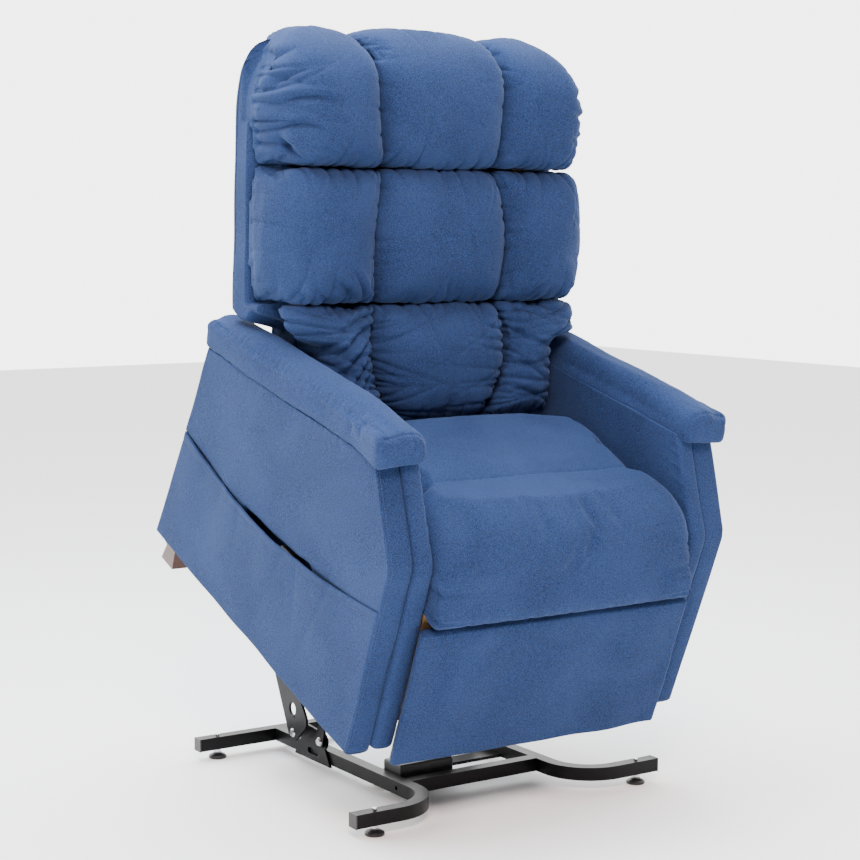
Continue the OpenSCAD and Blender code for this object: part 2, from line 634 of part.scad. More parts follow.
// Steel straps that carry the back frame on the hinge bolts, and the lever for the recline rod
module back_hinges() color("#1a1a1c") back_frame_of() {
  both() plate(hinge_x, hinge_x + 4) difference() {
    union() {
      disc([0, 0], 17);
      polygon([[-16, 4], [17, 0], [frame_y[1] + 14, 150], [frame_y[0] + 4, 190], [frame_y[0] + 2, 60]]);
    }
    disc([0, 0], lift_pin_r + play);
  }
  lever = turn(recline_lever - back_hinge, back_rake);
  for (x = [recline_x - 16, recline_x + 11]) plate(x, x + 5) difference() {
    union() {
      belt(lever, [frame_y[1] + 10.2, 50], 13, 10);
      polygon([[frame_y[1], 38], [frame_y[1] + 20, 40], [frame_y[1] + 20, 62], [frame_y[1], 76]]);
    }
    disc(lever, 4.9);
  }
  across(lever, recline_x - 19, recline_x + 19, 5);
}
module back_hinge_bolts() color("#c8c8cc") chair_frame() both() pivot_bolt(back_hinge, mech_x, hinge_x + 4, lift_pin_r);
// Hardwood back frame: two stiles and three rails, with hand holes in the middle rail
module back_frame() color("#c49a62") back_frame_of() {
  rails = [[36, 90], [row_mid + 30, row_mid + 80], [back_len - 75, back_len - 25]];
  stile_x = hinge_x - 30;
  both() translate([stile_x, frame_y[0], 36]) cube([30, frame_y[1] - frame_y[0], back_len - 61]);
  for (w = rails) translate([-stile_x + 0.2, frame_y[0], w[0]]) cube([2 * stile_x - 0.4, frame_y[1] - frame_y[0], w[1] - w[0]]);
}
// Elastic bands that carry the cushions, stapled across the front of the frame
module back_bands() color("#2a2a2d") back_frame_of() for (i = [0:5])
  translate([-hinge_x + 6, frame_y[0] - 2, 130 + i * (back_len - 240) / 5]) cube([2 * hinge_x - 12, 1.8, 48]);
// Outer back: a shell that is narrow between the arms and wide above them
module back_panel() color("#3f6494") back_frame_of() {
  back_shell(lower_half, row_low + 4, row_mid - 2, false);
  back_shell(upper_half, row_mid - 2, back_len - 6, true);
}
module back_shell(half, w0, w1, top) {
  translate([0, 0, w0]) linear_extrude(w1 - w0) polygon([
    [-half + 10, back_rear], [-half, back_rear - 12], [-half, frame_y[0]], [-half + 12, frame_y[0]],
    [-half + 12, back_rear - 14], [half - 12, back_rear - 14], [half - 12, frame_y[0]], [half, frame_y[0]],
    [half, back_rear - 12], [half - 10, back_rear]
  ]);
  if (top) {
    translate([-half + 2, frame_y[0], w1 - 12]) cube([2 * half - 4, back_rear - frame_y[0] - 2, 12]);
    for (s = [-1, 1]) translate([s > 0 ? lower_half - 12 : -half, frame_y[0], w0])
      cube([half - lower_half + 12, back_rear - frame_y[0] - 2, 10]);
  }
}
// A row of three cushions: each is a padded block, crowned along the back and across it
seam_gap = 0.4;
module cushion_row(w0, w1, half, front, top_round) {
  cushion_block(-column_half + seam_gap, column_half - seam_gap, w0, w1, front, 14, top_round);
  both() cushion_block(column_half + seam_gap, half, w0, w1, front, 60, top_round);
}
module cushion_block(x0, x1, w0, w1, front, side_round, top_round) intersection() {
  plate(x0, x1) polygon([
    [-lobe_rear, w0 + seam_gap], [-front + 56, w0 + seam_gap], [-front + 22, w0 + 12], [-front + 6, w0 + 36],
    [-front, (w0 + w1) / 2 - 12], [-front + 7, w1 - 44 - top_round / 3], [-front + 26, w1 - 16 - top_round / 5],
    [-front + 60, w1 - seam_gap - top_round / 20], [-lobe_rear, w1 - seam_gap]
  ]);
  translate([0, 0, w0]) linear_extrude(w1 - w0) polygon([
    [x0, -lobe_rear], [x0, 34 - front], [x0 + 8, 14 - front], [x0 + 34, 3 - front], [(x0 + x1) / 2, -front],
    [x1 - 20 - side_round / 2, 4 - front], [x1 - 4 - side_round / 4, 20 + side_round / 5 - front],
    [x1, 34 + side_round - front], [x1, -lobe_rear]
  ]);
}
module back_cushion_top() color("#3f6494") back_frame_of() cushion_row(row_top, back_len, upper_half - 6, lobe_front, 60);
module back_cushion_middle() color("#3f6494") back_frame_of() cushion_row(row_mid, row_top, upper_half, lobe_front, 0);
module back_cushion_lower() color("#3f6494") back_frame_of() cushion_row(row_low, row_mid, lower_half, lobe_front + 6, 0);

// ---- Leg rest linkage, folded ----

knee_a = leg_pivot_a + leg_link_1 * ahead(leg_angle_1);
cross_at = leg_pivot_b + leg_link_1 * ahead(leg_angle_1);
knee_b = leg_pivot_b + leg_knee.x * ahead(leg_angle_1) + leg_knee.y * ahead(leg_angle_1 + 90);
board_a = knee_a + leg_link_2 * ahead(leg_angle_2);
board_b = board_a + board_pivot;
rivet_head = 1.4;
module rivet(p, x0, x1) {
  across(p, x0 - gap, x1 + gap, rivet_r);
  across(p, x0 - gap - rivet_head, x0 - gap, rivet_r + 3);
  across(p, x1 + gap, x1 + gap + rivet_head, rivet_r + 3);
}
module leg_bar(x, points, r, holes) plate(x, x + leg_t) difference() {
  for (i = [0:len(points) - 2]) belt(points[i], points[i + 1], r, r);
  for (h = holes) disc(h[0], rivet_r + h[1]);
}
module leg_drive_links() color("#1a1a1c") chair_frame() both() {
  leg_bar(drive_x, [leg_pivot_a, knee_a], 11, [[leg_pivot_a, play], [knee_a, play]]);
}
module leg_drive_tube() color("#1a1a1c") chair_frame() difference() {
  across(leg_pivot_a, -drive_x + 0.1, drive_x - 0.1, 11);
  across(leg_pivot_a, -drive_x - 1, drive_x + 1, 8.5);
}
module leg_control_links() color("#1a1a1c") chair_frame() both() {
  leg_bar(control_x, [leg_pivot_b, cross_at, knee_b], 10, [[leg_pivot_b, play], [cross_at, 1], [knee_b, play]]);
  rivet(leg_pivot_b, control_x, mech_x + mech_t);
}
module leg_outer_links() color("#1a1a1c") chair_frame() both() {
  leg_bar(outer_x, [cross_at, knee_a, board_a], 10, [[knee_a, play], [board_a, play], [cross_at, play]]);
  rivet(knee_a, outer_x, drive_x + leg_t);
  rivet(cross_at, control_x, outer_x + leg_t);
}
module leg_steering_bars() color("#1a1a1c") chair_frame() both() {
  leg_bar(steer_x, [knee_b, board_b], 9, [[knee_b, play], [board_b, 1.4]]);
  rivet(knee_b, steer_x, control_x + leg_t);
}
board_u = [-41, -17];
board_v = [-11, board_h - 11];
board_half = seat_half + 12;
module leg_rest_board() color("#1a1a1c") chair_frame() {
  translate([-board_half + 6, board_u[0] + board_pad + 0.2, board_v[0] + 4])
    cube([2 * board_half - 12, board_u[1] - board_u[0] - board_pad - 0.2, board_h - 8]);
  both() plate(outer_x - 22, outer_x - 18) difference() {
    union() {
      belt(board_a, board_b, 10, 10);
      polygon([[board_u[1], board_b.y - 20], board_b + [0, -10], board_a + [8, 0], board_a + [0, 10], [board_u[1], board_a.y + 14]]);
    }
    disc(board_a, rivet_r + play);
    disc(board_b, rivet_r + play);
  }
  both() rivet(board_a, outer_x - 22, outer_x + leg_t);
  both() rivet(board_b, outer_x - 22, steer_x + leg_t);
}
module leg_rest_pad() color("#3f6494") chair_frame() plate(-board_half, board_half) polygon([
  [board_u[0] + board_pad, board_v[0]], [board_u[0] + 3, board_v[0]], [board_u[0], board_v[0] + 5],
  [board_u[0], board_v[1] - 5], [board_u[0] + 3, board_v[1]], [board_u[0] + board_pad, board_v[1]]
]);

left() base_rail();  // base_rail_left
base_rail();  // base_rail_right
base_front_tube();
base_rear_tube();
tube_end_caps();
foot_pads();
foot_studs();
left() lift_bracket();  // lift_bracket_left
lift_bracket();  // lift_bracket_right
motor_bar();
power_supply();
base_pivot_bolts();
rear_lift_links();
lift_torque_tube();
front_lift_links();
left() lift_rail();  // lift_rail_left
lift_rail();  // lift_rail_right
chair_pivot_bolts();
chair_cross_tubes();
seat_cross_tube();
left() mechanism();  // mechanism_left
mechanism();  // mechanism_right
seat_frame();
seat_springs();
seat_cushion();
left() arm_frame();  // arm_frame_left
arm_frame();  // arm_frame_right
left() side_panel(true);  // side_panel_left
side_panel(false);  // side_panel_right
left() arm_inner_pad();  // arm_inner_left
arm_inner_pad();  // arm_inner_right
left() arm_pad();  // arm_pad_left
arm_pad();  // arm_pad_right
pocket_panel();
pocket_liner();
rest_blocks();
handset();
handset_button(0, "#3c8a4a");  // lift_button
handset_button(1, "#c8a030");  // lower_button
handset_button(2, "#b0b4ba");  // recline_button
handset_button(3, "#b0b4ba");  // upright_button
lift_motor();
lift_rod();
recline_motor();
recline_rod();
back_frame();
back_bands();
back_hinges();
back_hinge_bolts();
back_panel();
back_cushion_top();
back_cushion_middle();
back_cushion_lower();
leg_drive_links();
leg_drive_tube();
leg_control_links();
leg_outer_links();
leg_steering_bars();
leg_rest_board();
leg_rest_pad();
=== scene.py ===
import json
import math

import bpy
import numpy as np
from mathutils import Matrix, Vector


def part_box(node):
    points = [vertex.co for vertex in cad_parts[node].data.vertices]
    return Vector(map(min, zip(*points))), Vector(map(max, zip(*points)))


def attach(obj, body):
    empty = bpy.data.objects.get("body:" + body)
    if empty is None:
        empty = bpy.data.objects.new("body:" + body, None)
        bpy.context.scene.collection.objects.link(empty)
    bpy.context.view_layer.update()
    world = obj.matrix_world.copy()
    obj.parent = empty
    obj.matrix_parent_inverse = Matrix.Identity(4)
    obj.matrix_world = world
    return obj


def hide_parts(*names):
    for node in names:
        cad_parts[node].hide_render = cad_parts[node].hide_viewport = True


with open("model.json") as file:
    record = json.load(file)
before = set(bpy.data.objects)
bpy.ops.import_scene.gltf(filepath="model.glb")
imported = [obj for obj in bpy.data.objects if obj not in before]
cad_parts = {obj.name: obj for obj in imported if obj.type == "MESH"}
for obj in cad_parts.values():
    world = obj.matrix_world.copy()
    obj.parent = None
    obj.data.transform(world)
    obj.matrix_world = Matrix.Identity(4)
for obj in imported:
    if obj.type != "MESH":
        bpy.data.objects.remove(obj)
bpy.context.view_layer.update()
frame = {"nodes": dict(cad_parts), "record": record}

scene = bpy.context.scene
behaviour = frame["record"]["behaviour"]
joint_at = {j["name"]: np.array(j["pos_m"]) * 1000 for j in behaviour["joints"] if "pos_m" in j}

# ---- Where the chair is ----
# Soft pieces are worked out in millimetres with the chair level: across, back and up from the lower front
# corner of its side panels. The back has axes of its own: across, rearward and up along its slope.

TILT = math.radians(21.7)
RAKE = math.radians(19)
HINGE = np.array([0, 565, 300])


def lean(points, angle):
    """Turns points about X: y' = y cos a - z sin a, z' = y sin a + z cos a."""
    x, y, z = np.moveaxis(np.asarray(points, float), -1, 0)
    c, s = math.cos(angle), math.sin(angle)
    return np.stack([x, y * c - z * s, y * s + z * c], -1)


def chair(points):
    """Level chair to the frame, in metres: turned forward by the lift's tilt, with the back hinge on its joint."""
    return (lean(points, TILT) + joint_at["back_recline"] - lean(HINGE, TILT)) / 1000


def back(points):
    """The back's own axes to the frame: leaned back by the rake, then set on the hinge line."""
    return chair(lean(points, -RAKE) + HINGE)


# ---- Camera ----

camera = bpy.data.objects.new("camera", bpy.data.cameras.new("camera"))
scene.collection.objects.link(camera)
camera.data.lens, camera.data.sensor_width = 81.53, 36
camera.data.shift_y = 0.0238
camera.location = (-2.0538, -3.1248, 1.0686)
heading, dip = math.radians(-33.219), math.radians(6.496)
aim = Vector((-math.sin(heading) * math.cos(dip), math.cos(heading) * math.cos(dip), -math.sin(dip)))
camera.rotation_euler = aim.to_track_quat("-Z", "Y").to_euler()
scene.camera = camera

# ---- Materials ----


def colour(code):
    """An sRGB hex colour as linear RGBA: c / 12.92 below 0.04045, else ((c + 0.055) / 1.055) ^ 2.4."""
    c = np.array([int(code[i:i + 2], 16) for i in (1, 3, 5)]) / 255
    return (*np.where(c < 0.04045, c / 12.92, ((c + 0.055) / 1.055) ** 2.4), 1)


def add(tree, kind, values=None, links=None, **settings):
    """Adds a shader node with its own settings, the values of its free sockets and its links."""
    node = tree.nodes.new(kind)
    for name, value in settings.items():
        setattr(node, name, value)
    for name, value in (values or {}).items():
        node.inputs[name].default_value = value
    for name, (source, output) in (links or {}).items():
        tree.links.new(source.outputs[output], node.inputs[name])
    return node


def finish_of(name):
    """A new material: its node tree, its surface shader and the coordinates of the object."""
    made = bpy.data.materials.new(name)
    made.use_nodes = True
    tree = made.node_tree
    return made, tree, tree.nodes["Principled BSDF"], add(tree, "ShaderNodeTexCoord")


def woven_chenille():
    """Blue chenille microfibre, woven from fuzzy yarn about 1 mm thick in two blues. The yarn gives the heathered
    speckle, and the brushed pile gives pale grazing edges and soft patches that lie one way or the other."""
    made, tree, shader, at = finish_of("woven_chenille")
    yarn = add(tree, "ShaderNodeTexNoise", {"Scale": 520, "Detail": 2, "Roughness": 0.8}, {"Vector": (at, "Object")})
    fleck = add(tree, "ShaderNodeTexNoise", {"Scale": 250, "Detail": 2, "Roughness": 0.7}, {"Vector": (at, "Object")})
    pile = add(tree, "ShaderNodeTexNoise", {"Scale": 7, "Detail": 2, "Roughness": 0.5, "Distortion": 0.5},
               {"Vector": (at, "Object")})
    speckle = add(tree, "ShaderNodeMapRange", {"From Min": 0.41, "From Max": 0.6}, {"Value": (yarn, "Fac")})
    heather = add(tree, "ShaderNodeMapRange", {"From Min": 0.38, "From Max": 0.66, "To Max": 0.75},
                  {"Value": (fleck, "Fac")})
    lie = add(tree, "ShaderNodeMapRange", {"From Min": 0.35, "From Max": 0.65, "To Max": 0.16},
              {"Value": (pile, "Fac")})
    two = add(tree, "ShaderNodeMix", {"A": colour("#101d3a"), "B": colour("#2a4272")}, {"Factor": (speckle, 0)},
              data_type="RGBA")
    warm = add(tree, "ShaderNodeMix", {"B": colour("#283450")}, {"Factor": (heather, 0), "A": (two, 2)},
               data_type="RGBA")
    tone = add(tree, "ShaderNodeMix", {"B": colour("#3a4f7e")}, {"Factor": (lie, 0), "A": (warm, 2)},
               data_type="RGBA")
    tree.links.new(tone.outputs[2], shader.inputs["Base Color"])
    both = add(tree, "ShaderNodeMath", {}, {0: (yarn, "Fac"), 1: (fleck, "Fac")}, operation="ADD")
    bump = add(tree, "ShaderNodeBump", {"Strength": 0.6, "Distance": 0.0014}, {"Height": (both, 0)})
    tree.links.new(bump.outputs[0], shader.inputs["Normal"])
    shader.inputs["Roughness"].default_value = 0.95
    shader.inputs["Sheen Weight"].default_value = 0.16
    shader.inputs["Sheen Roughness"].default_value = 0.4
    shader.inputs["Sheen Tint"].default_value = colour("#9fb4d8")
    shader.inputs["Specular IOR Level"].default_value = 0.12
    return made


def spun_thread():
    """Polyester sewing thread, spun and dyed a shade darker than the cover, with its twist as a fine slant."""
    made, tree, shader, at = finish_of("spun_thread")
    twist = add(tree, "ShaderNodeTexWave", {"Scale": 900, "Distortion": 1}, {"Vector": (at, "Object")},
                bands_direction="DIAGONAL")
    tone = add(tree, "ShaderNodeMix", {"A": colour("#16233e"), "B": colour("#2a3f66")}, {"Factor": (twist, "Fac")},
               data_type="RGBA")
    tree.links.new(tone.outputs[2], shader.inputs["Base Color"])
    shader.inputs["Roughness"].default_value = 0.7
    return made


def plain_woven_lining():
    """Polyester lining, plain woven at 0.5 mm, drawn at 1.5 mm so that it shows: dull navy with a faint grid."""
    made, tree, shader, at = finish_of("plain_woven_lining")
    warp = add(tree, "ShaderNodeTexWave", {"Scale": 210}, {"Vector": (at, "Object")}, bands_direction="Y")
    weft = add(tree, "ShaderNodeTexWave", {"Scale": 210}, {"Vector": (at, "Object")}, bands_direction="Z")
    cross = add(tree, "ShaderNodeMath", {}, {0: (warp, "Fac"), 1: (weft, "Fac")}, operation="MULTIPLY")
    tone = add(tree, "ShaderNodeMix", {"A": colour("#17233a"), "B": colour("#2b3d5d")}, {"Factor": (cross, 0)},
               data_type="RGBA")
    bump = add(tree, "ShaderNodeBump", {"Strength": 0.3, "Distance": 0.0004}, {"Height": (cross, 0)})
    tree.links.new(tone.outputs[2], shader.inputs["Base Color"])
    tree.links.new(bump.outputs[0], shader.inputs["Normal"])
    shader.inputs["Roughness"].default_value = 0.8
    return made


def powder_coated_steel():
    """Steel tube and plate, powder coated in gloss black: a fine orange peel about 2 mm across softens its glints."""
    made, tree, shader, at = finish_of("powder_coated_steel")
    peel = add(tree, "ShaderNodeTexNoise", {"Scale": 480, "Detail": 2}, {"Vector": (at, "Object")})
    dust = add(tree, "ShaderNodeTexNoise", {"Scale": 22, "Detail": 4}, {"Vector": (at, "Object")})
    rough = add(tree, "ShaderNodeMapRange", {"To Min": 0.34, "To Max": 0.5}, {"Value": (dust, "Fac")})
    tone = add(tree, "ShaderNodeMix", {"A": colour("#050506"), "B": colour("#0d0e10")}, {"Factor": (dust, "Fac")},
               data_type="RGBA")
    bump = add(tree, "ShaderNodeBump", {"Strength": 0.12, "Distance": 0.0004}, {"Height": (peel, "Fac")})
    tree.links.new(tone.outputs[2], shader.inputs["Base Color"])
    tree.links.new(rough.outputs[0], shader.inputs["Roughness"])
    tree.links.new(bump.outputs[0], shader.inputs["Normal"])
    shader.inputs["Coat Weight"].default_value = 0.08
    shader.inputs["Coat Roughness"].default_value = 0.2
    shader.inputs["Specular IOR Level"].default_value = 0.1
    return made


def dipped_black_steel():
    """Stamped mechanism steel, dipped in satin black paint, thin enough for the sheet's rolling marks to show."""
    made, tree, shader, at = finish_of("dipped_black_steel")
    stretch = add(tree, "ShaderNodeMapping", {"Scale": (900, 40, 900)}, {"Vector": (at, "Object")})
    rolled = add(tree, "ShaderNodeTexNoise", {"Scale": 1, "Detail": 4}, {"Vector": (stretch, 0)})
    wear = add(tree, "ShaderNodeTexNoise", {"Scale": 60, "Detail": 5}, {"Vector": (at, "Object")})
    rough = add(tree, "ShaderNodeMapRange", {"To Min": 0.38, "To Max": 0.62}, {"Value": (rolled, "Fac")})
    tone = add(tree, "ShaderNodeMix", {"A": colour("#141416"), "B": colour("#2a2b2e")}, {"Factor": (wear, "Fac")},
               data_type="RGBA")
    bump = add(tree, "ShaderNodeBump", {"Strength": 0.15, "Distance": 0.0003}, {"Height": (rolled, "Fac")})
    tree.links.new(tone.outputs[2], shader.inputs["Base Color"])
    tree.links.new(rough.outputs[0], shader.inputs["Roughness"])
    tree.links.new(bump.outputs[0], shader.inputs["Normal"])
    shader.inputs["Metallic"].default_value = 0.2
    return made


def zinc_plated_steel():
    """Bolts and rods in bright zinc plate: turned rings and a faint blue tint from the passivation."""
    made, tree, shader, at = finish_of("zinc_plated_steel")
    turned = add(tree, "ShaderNodeTexNoise", {"Scale": 700, "Detail": 2}, {"Vector": (at, "Object")})
    haze = add(tree, "ShaderNodeTexNoise", {"Scale": 70, "Detail": 3}, {"Vector": (at, "Object")})
    rough = add(tree, "ShaderNodeMapRange", {"To Min": 0.16, "To Max": 0.34}, {"Value": (haze, "Fac")})
    tone = add(tree, "ShaderNodeMix", {"A": colour("#b9bcc2"), "B": colour("#d8dade")}, {"Factor": (haze, "Fac")},
               data_type="RGBA")
    bump = add(tree, "ShaderNodeBump", {"Strength": 0.1, "Distance": 0.0002}, {"Height": (turned, "Fac")})
    tree.links.new(tone.outputs[2], shader.inputs["Base Color"])
    tree.links.new(rough.outputs[0], shader.inputs["Roughness"])
    tree.links.new(bump.outputs[0], shader.inputs["Normal"])
    shader.inputs["Metallic"].default_value = 1
    return made


def drawn_spring_wire():
    """Hard drawn spring wire under a film of oil: grey, with die lines about 0.5 mm apart."""
    made, tree, shader, at = finish_of("drawn_spring_wire")
    lines = add(tree, "ShaderNodeTexNoise", {"Scale": 900, "Detail": 2}, {"Vector": (at, "Object")})
    tone = add(tree, "ShaderNodeMix", {"A": colour("#6b6e73"), "B": colour("#94979c")}, {"Factor": (lines, "Fac")},
               data_type="RGBA")
    tree.links.new(tone.outputs[2], shader.inputs["Base Color"])
    shader.inputs["Metallic"].default_value = 1
    shader.inputs["Roughness"].default_value = 0.38
    return made


def sawn_hardwood():
    """Kiln-dried hardwood boards, band sawn and left raw: grain lines about 4 mm apart and darker pores."""
    made, tree, shader, at = finish_of("sawn_hardwood")
    turned = add(tree, "ShaderNodeMapping", {"Scale": (60, 14, 60)}, {"Vector": (at, "Object")})
    rings = add(tree, "ShaderNodeTexNoise", {"Scale": 4, "Detail": 5, "Distortion": 0.8}, {"Vector": (turned, 0)})
    pores = add(tree, "ShaderNodeTexNoise", {"Scale": 900, "Detail": 1}, {"Vector": (at, "Object")})
    tone = add(tree, "ShaderNodeMix", {"A": colour("#b98a55"), "B": colour("#d8b27c")}, {"Factor": (rings, "Fac")},
               data_type="RGBA")
    bump = add(tree, "ShaderNodeBump", {"Strength": 0.25, "Distance": 0.0004}, {"Height": (pores, "Fac")})
    tree.links.new(tone.outputs[2], shader.inputs["Base Color"])
    tree.links.new(bump.outputs[0], shader.inputs["Normal"])
    shader.inputs["Roughness"].default_value = 0.75
    return made


def stained_beech():
    """Beech blocks in dark walnut stain under satin lacquer: short darker flecks along the grain."""
    made, tree, shader, at = finish_of("stained_beech")
    along = add(tree, "ShaderNodeMapping", {"Scale": (220, 220, 30)}, {"Vector": (at, "Object")})
    flecks = add(tree, "ShaderNodeTexNoise", {"Scale": 1.5, "Detail": 5}, {"Vector": (along, 0)})
    tone = add(tree, "ShaderNodeMix", {"A": colour("#2f1d16"), "B": colour("#5b3b2b")}, {"Factor": (flecks, "Fac")},
               data_type="RGBA")
    tree.links.new(tone.outputs[2], shader.inputs["Base Color"])
    shader.inputs["Roughness"].default_value = 0.4
    shader.inputs["Coat Weight"].default_value = 0.3
    shader.inputs["Coat Roughness"].default_value = 0.25
    return made


def elastic_webbing():
    """Elastic seat webbing, woven 48 mm wide in black rubber and polyester, ribbed across every 2 mm."""
    made, tree, shader, at = finish_of("elastic_webbing")
    ribs = add(tree, "ShaderNodeTexWave", {"Scale": 160}, {"Vector": (at, "Object")}, bands_direction="X")
    tone = add(tree, "ShaderNodeMix", {"A": colour("#151517"), "B": colour("#3a3a3e")}, {"Factor": (ribs, "Fac")},
               data_type="RGBA")
    bump = add(tree, "ShaderNodeBump", {"Strength": 0.4, "Distance": 0.0006}, {"Height": (ribs, "Fac")})
    tree.links.new(tone.outputs[2], shader.inputs["Base Color"])
    tree.links.new(bump.outputs[0], shader.inputs["Normal"])
    shader.inputs["Roughness"].default_value = 0.85
    return made


def moulded_plastic(name, dark, pale, rough):
    """Injection moulded nylon or ABS with a spark-eroded grain of about 0.8 mm that breaks up its reflections."""
    made, tree, shader, at = finish_of(name)
    grain = add(tree, "ShaderNodeTexNoise", {"Scale": 1100, "Detail": 2}, {"Vector": (at, "Object")})
    tint = add(tree, "ShaderNodeTexNoise", {"Scale": 30, "Detail": 3}, {"Vector": (at, "Object")})
    tone = add(tree, "ShaderNodeMix", {"A": colour(dark), "B": colour(pale)}, {"Factor": (tint, "Fac")},
               data_type="RGBA")
    bump = add(tree, "ShaderNodeBump", {"Strength": 0.2, "Distance": 0.0003}, {"Height": (grain, "Fac")})
    tree.links.new(tone.outputs[2], shader.inputs["Base Color"])
    tree.links.new(bump.outputs[0], shader.inputs["Normal"])
    shader.inputs["Roughness"].default_value = rough
    return made


chenille = woven_chenille()
thread = spun_thread()
frame_steel = powder_coated_steel()
stamped = dipped_black_steel()
zinc = zinc_plated_steel()
nylon = moulded_plastic("moulded_nylon", "#0b0b0c", "#1a1a1c", 0.45)
housing = moulded_plastic("moulded_motor_housing", "#18191b", "#28292c", 0.5)
handset_shell = moulded_plastic("moulded_handset_shell", "#1b1c1f", "#2d2e32", 0.4)
raise_key = moulded_plastic("moulded_key_green", "#2c7a3b", "#4a9a58", 0.35)
lower_key = moulded_plastic("moulded_key_amber", "#b98b1c", "#d9ae3c", 0.35)
recline_key = moulded_plastic("moulded_key_grey", "#9aa0a8", "#bcc1c8", 0.35)

kept = {
    frame_steel: ["base_rail_left", "base_rail_right", "base_front_tube", "base_rear_tube", "lift_bracket_left",
                  "lift_bracket_right", "motor_bar", "rear_lift_links", "lift_torque_tube", "front_lift_links",
                  "lift_rail_left", "lift_rail_right", "chair_cross_tubes", "seat_cross_tube"],
    stamped: ["mechanism_left", "mechanism_right", "back_hinges", "leg_drive_links", "leg_drive_tube",
              "leg_control_links", "leg_outer_links", "leg_steering_bars", "leg_rest_board"],
    zinc: ["foot_studs", "base_pivot_bolts", "chair_pivot_bolts", "back_hinge_bolts", "lift_rod", "recline_rod"],
    nylon: ["tube_end_caps", "foot_pads", "power_supply"],
    housing: ["lift_motor", "recline_motor"],
    handset_shell: ["handset"],
    raise_key: ["lift_button"],
    lower_key: ["lower_button"],
    recline_key: ["recline_button", "upright_button"],
    drawn_spring_wire(): ["seat_springs"],
    sawn_hardwood(): ["seat_frame", "arm_frame_left", "arm_frame_right", "back_frame"],
    stained_beech(): ["rest_blocks"],
    elastic_webbing(): ["back_bands"],
    plain_woven_lining(): ["pocket_liner"],
}
for made, names in kept.items():
    for name in names:
        for place in frame["nodes"][name].material_slots:
            place.material = made

# ---- Surfaces ----


def skin(name, rings, place, body, finish=chenille):
    """A closed skin through rings of points, an (n, m, 3) array whose rings all run the same way round. Quads join
    each ring to the next, and a fan closes each end onto its middle. The mesh is in millimetres until it is placed."""
    n, m, _ = rings.shape
    start, step = np.arange(n - 1)[:, None] * m, np.arange(m)[None, :]
    after = (step + 1) % m
    quads = np.stack([start + step, start + after, start + m + after, start + m + step], -1).reshape(-1, 4)
    points = np.concatenate([rings.reshape(-1, 3), rings[0].mean(0)[None], rings[-1].mean(0)[None]])
    around, ahead = np.arange(m), (np.arange(m) + 1) % m
    first = np.stack([ahead, around, np.full(m, n * m)], -1)
    last = np.stack([around + (n - 1) * m, ahead + (n - 1) * m, np.full(m, n * m + 1)], -1)
    mesh = bpy.data.meshes.new(name)
    mesh.from_pydata((points / 1000).tolist(), [], quads.tolist() + first.tolist() + last.tolist())
    volume = np.einsum("ij,ij->", np.cross(points[quads[:, 0]], points[quads[:, 1]]), points[quads[:, 2]])
    volume += np.einsum("ij,ij->", np.cross(points[quads[:, 0]], points[quads[:, 2]]), points[quads[:, 3]])
    if volume < 0:
        mesh.flip_normals()
    mesh.materials.append(finish)
    made = bpy.data.objects.new(name, mesh)
    scene.collection.objects.link(made)
    made["place"], made["rides"] = place.__name__, body
    return made


def points_of(piece):
    """The piece's vertices in millimetres, as one array."""
    flat = np.empty(len(piece.data.vertices) * 3, np.float32)
    piece.data.vertices.foreach_get("co", flat)
    return flat.reshape(-1, 3).astype(float) * 1000


def move_points(piece, points):
    """Puts an array in millimetres back into the piece's vertices."""
    piece.data.vertices.foreach_set("co", (points / 1000).astype(np.float32).ravel())
    piece.data.update()


def normals_of(piece):
    """The outward direction at each vertex."""
    flat = np.empty(len(piece.data.vertices) * 3, np.float32)
    piece.data.vertex_normals.foreach_get("vector", flat)
    return flat.reshape(-1, 3).astype(float)


def bake(piece):
    """Makes the result of the piece's modifiers its own mesh."""
    solved = bpy.data.meshes.new_from_object(piece.evaluated_get(bpy.context.evaluated_depsgraph_get()))
    piece.modifiers.clear()
    piece.data = solved


def plump(piece, voxel, cap, keep_in, free):
    """Fills a cushion as its stuffing does. The shell is remeshed in even cells, blown up as cloth with no weight,
    held within cap millimetres of where it began and inside keep_in, then subdivided once. free gives the share of
    its movement that each point keeps, which is none where the cover is stapled or sewn down."""
    piece.modifiers.new("cells", "REMESH").voxel_size = voxel / 1000
    bake(piece)
    began = points_of(piece)
    cloth = piece.modifiers.new("stuffing", "CLOTH")
    cloth.settings.use_pressure = True
    cloth.settings.uniform_pressure_force = 4
    cloth.settings.effector_weights.gravity = 0
    cloth.settings.tension_stiffness = cloth.settings.compression_stiffness = 12
    cloth.settings.bending_stiffness = 0.4
    cloth.point_cache.frame_start, cloth.point_cache.frame_end = 1, 20
    for step in range(1, 21):
        scene.frame_set(step)
    bake(piece)
    scene.frame_set(1)
    moved = points_of(piece) - began
    reach = np.linalg.norm(moved, axis=1, keepdims=True)
    moved *= np.minimum(1, cap / np.maximum(reach, 1e-6)) * free(began)[:, None]
    move_points(piece, keep_in(began + moved))
    piece.modifiers.new("finer", "SUBSURF").levels = 1
    bake(piece)


def dent(piece, depth):
    """Presses the surface in by depth millimetres at each vertex, along its own normal."""
    move_points(piece, points_of(piece) - normals_of(piece) * depth[:, None])


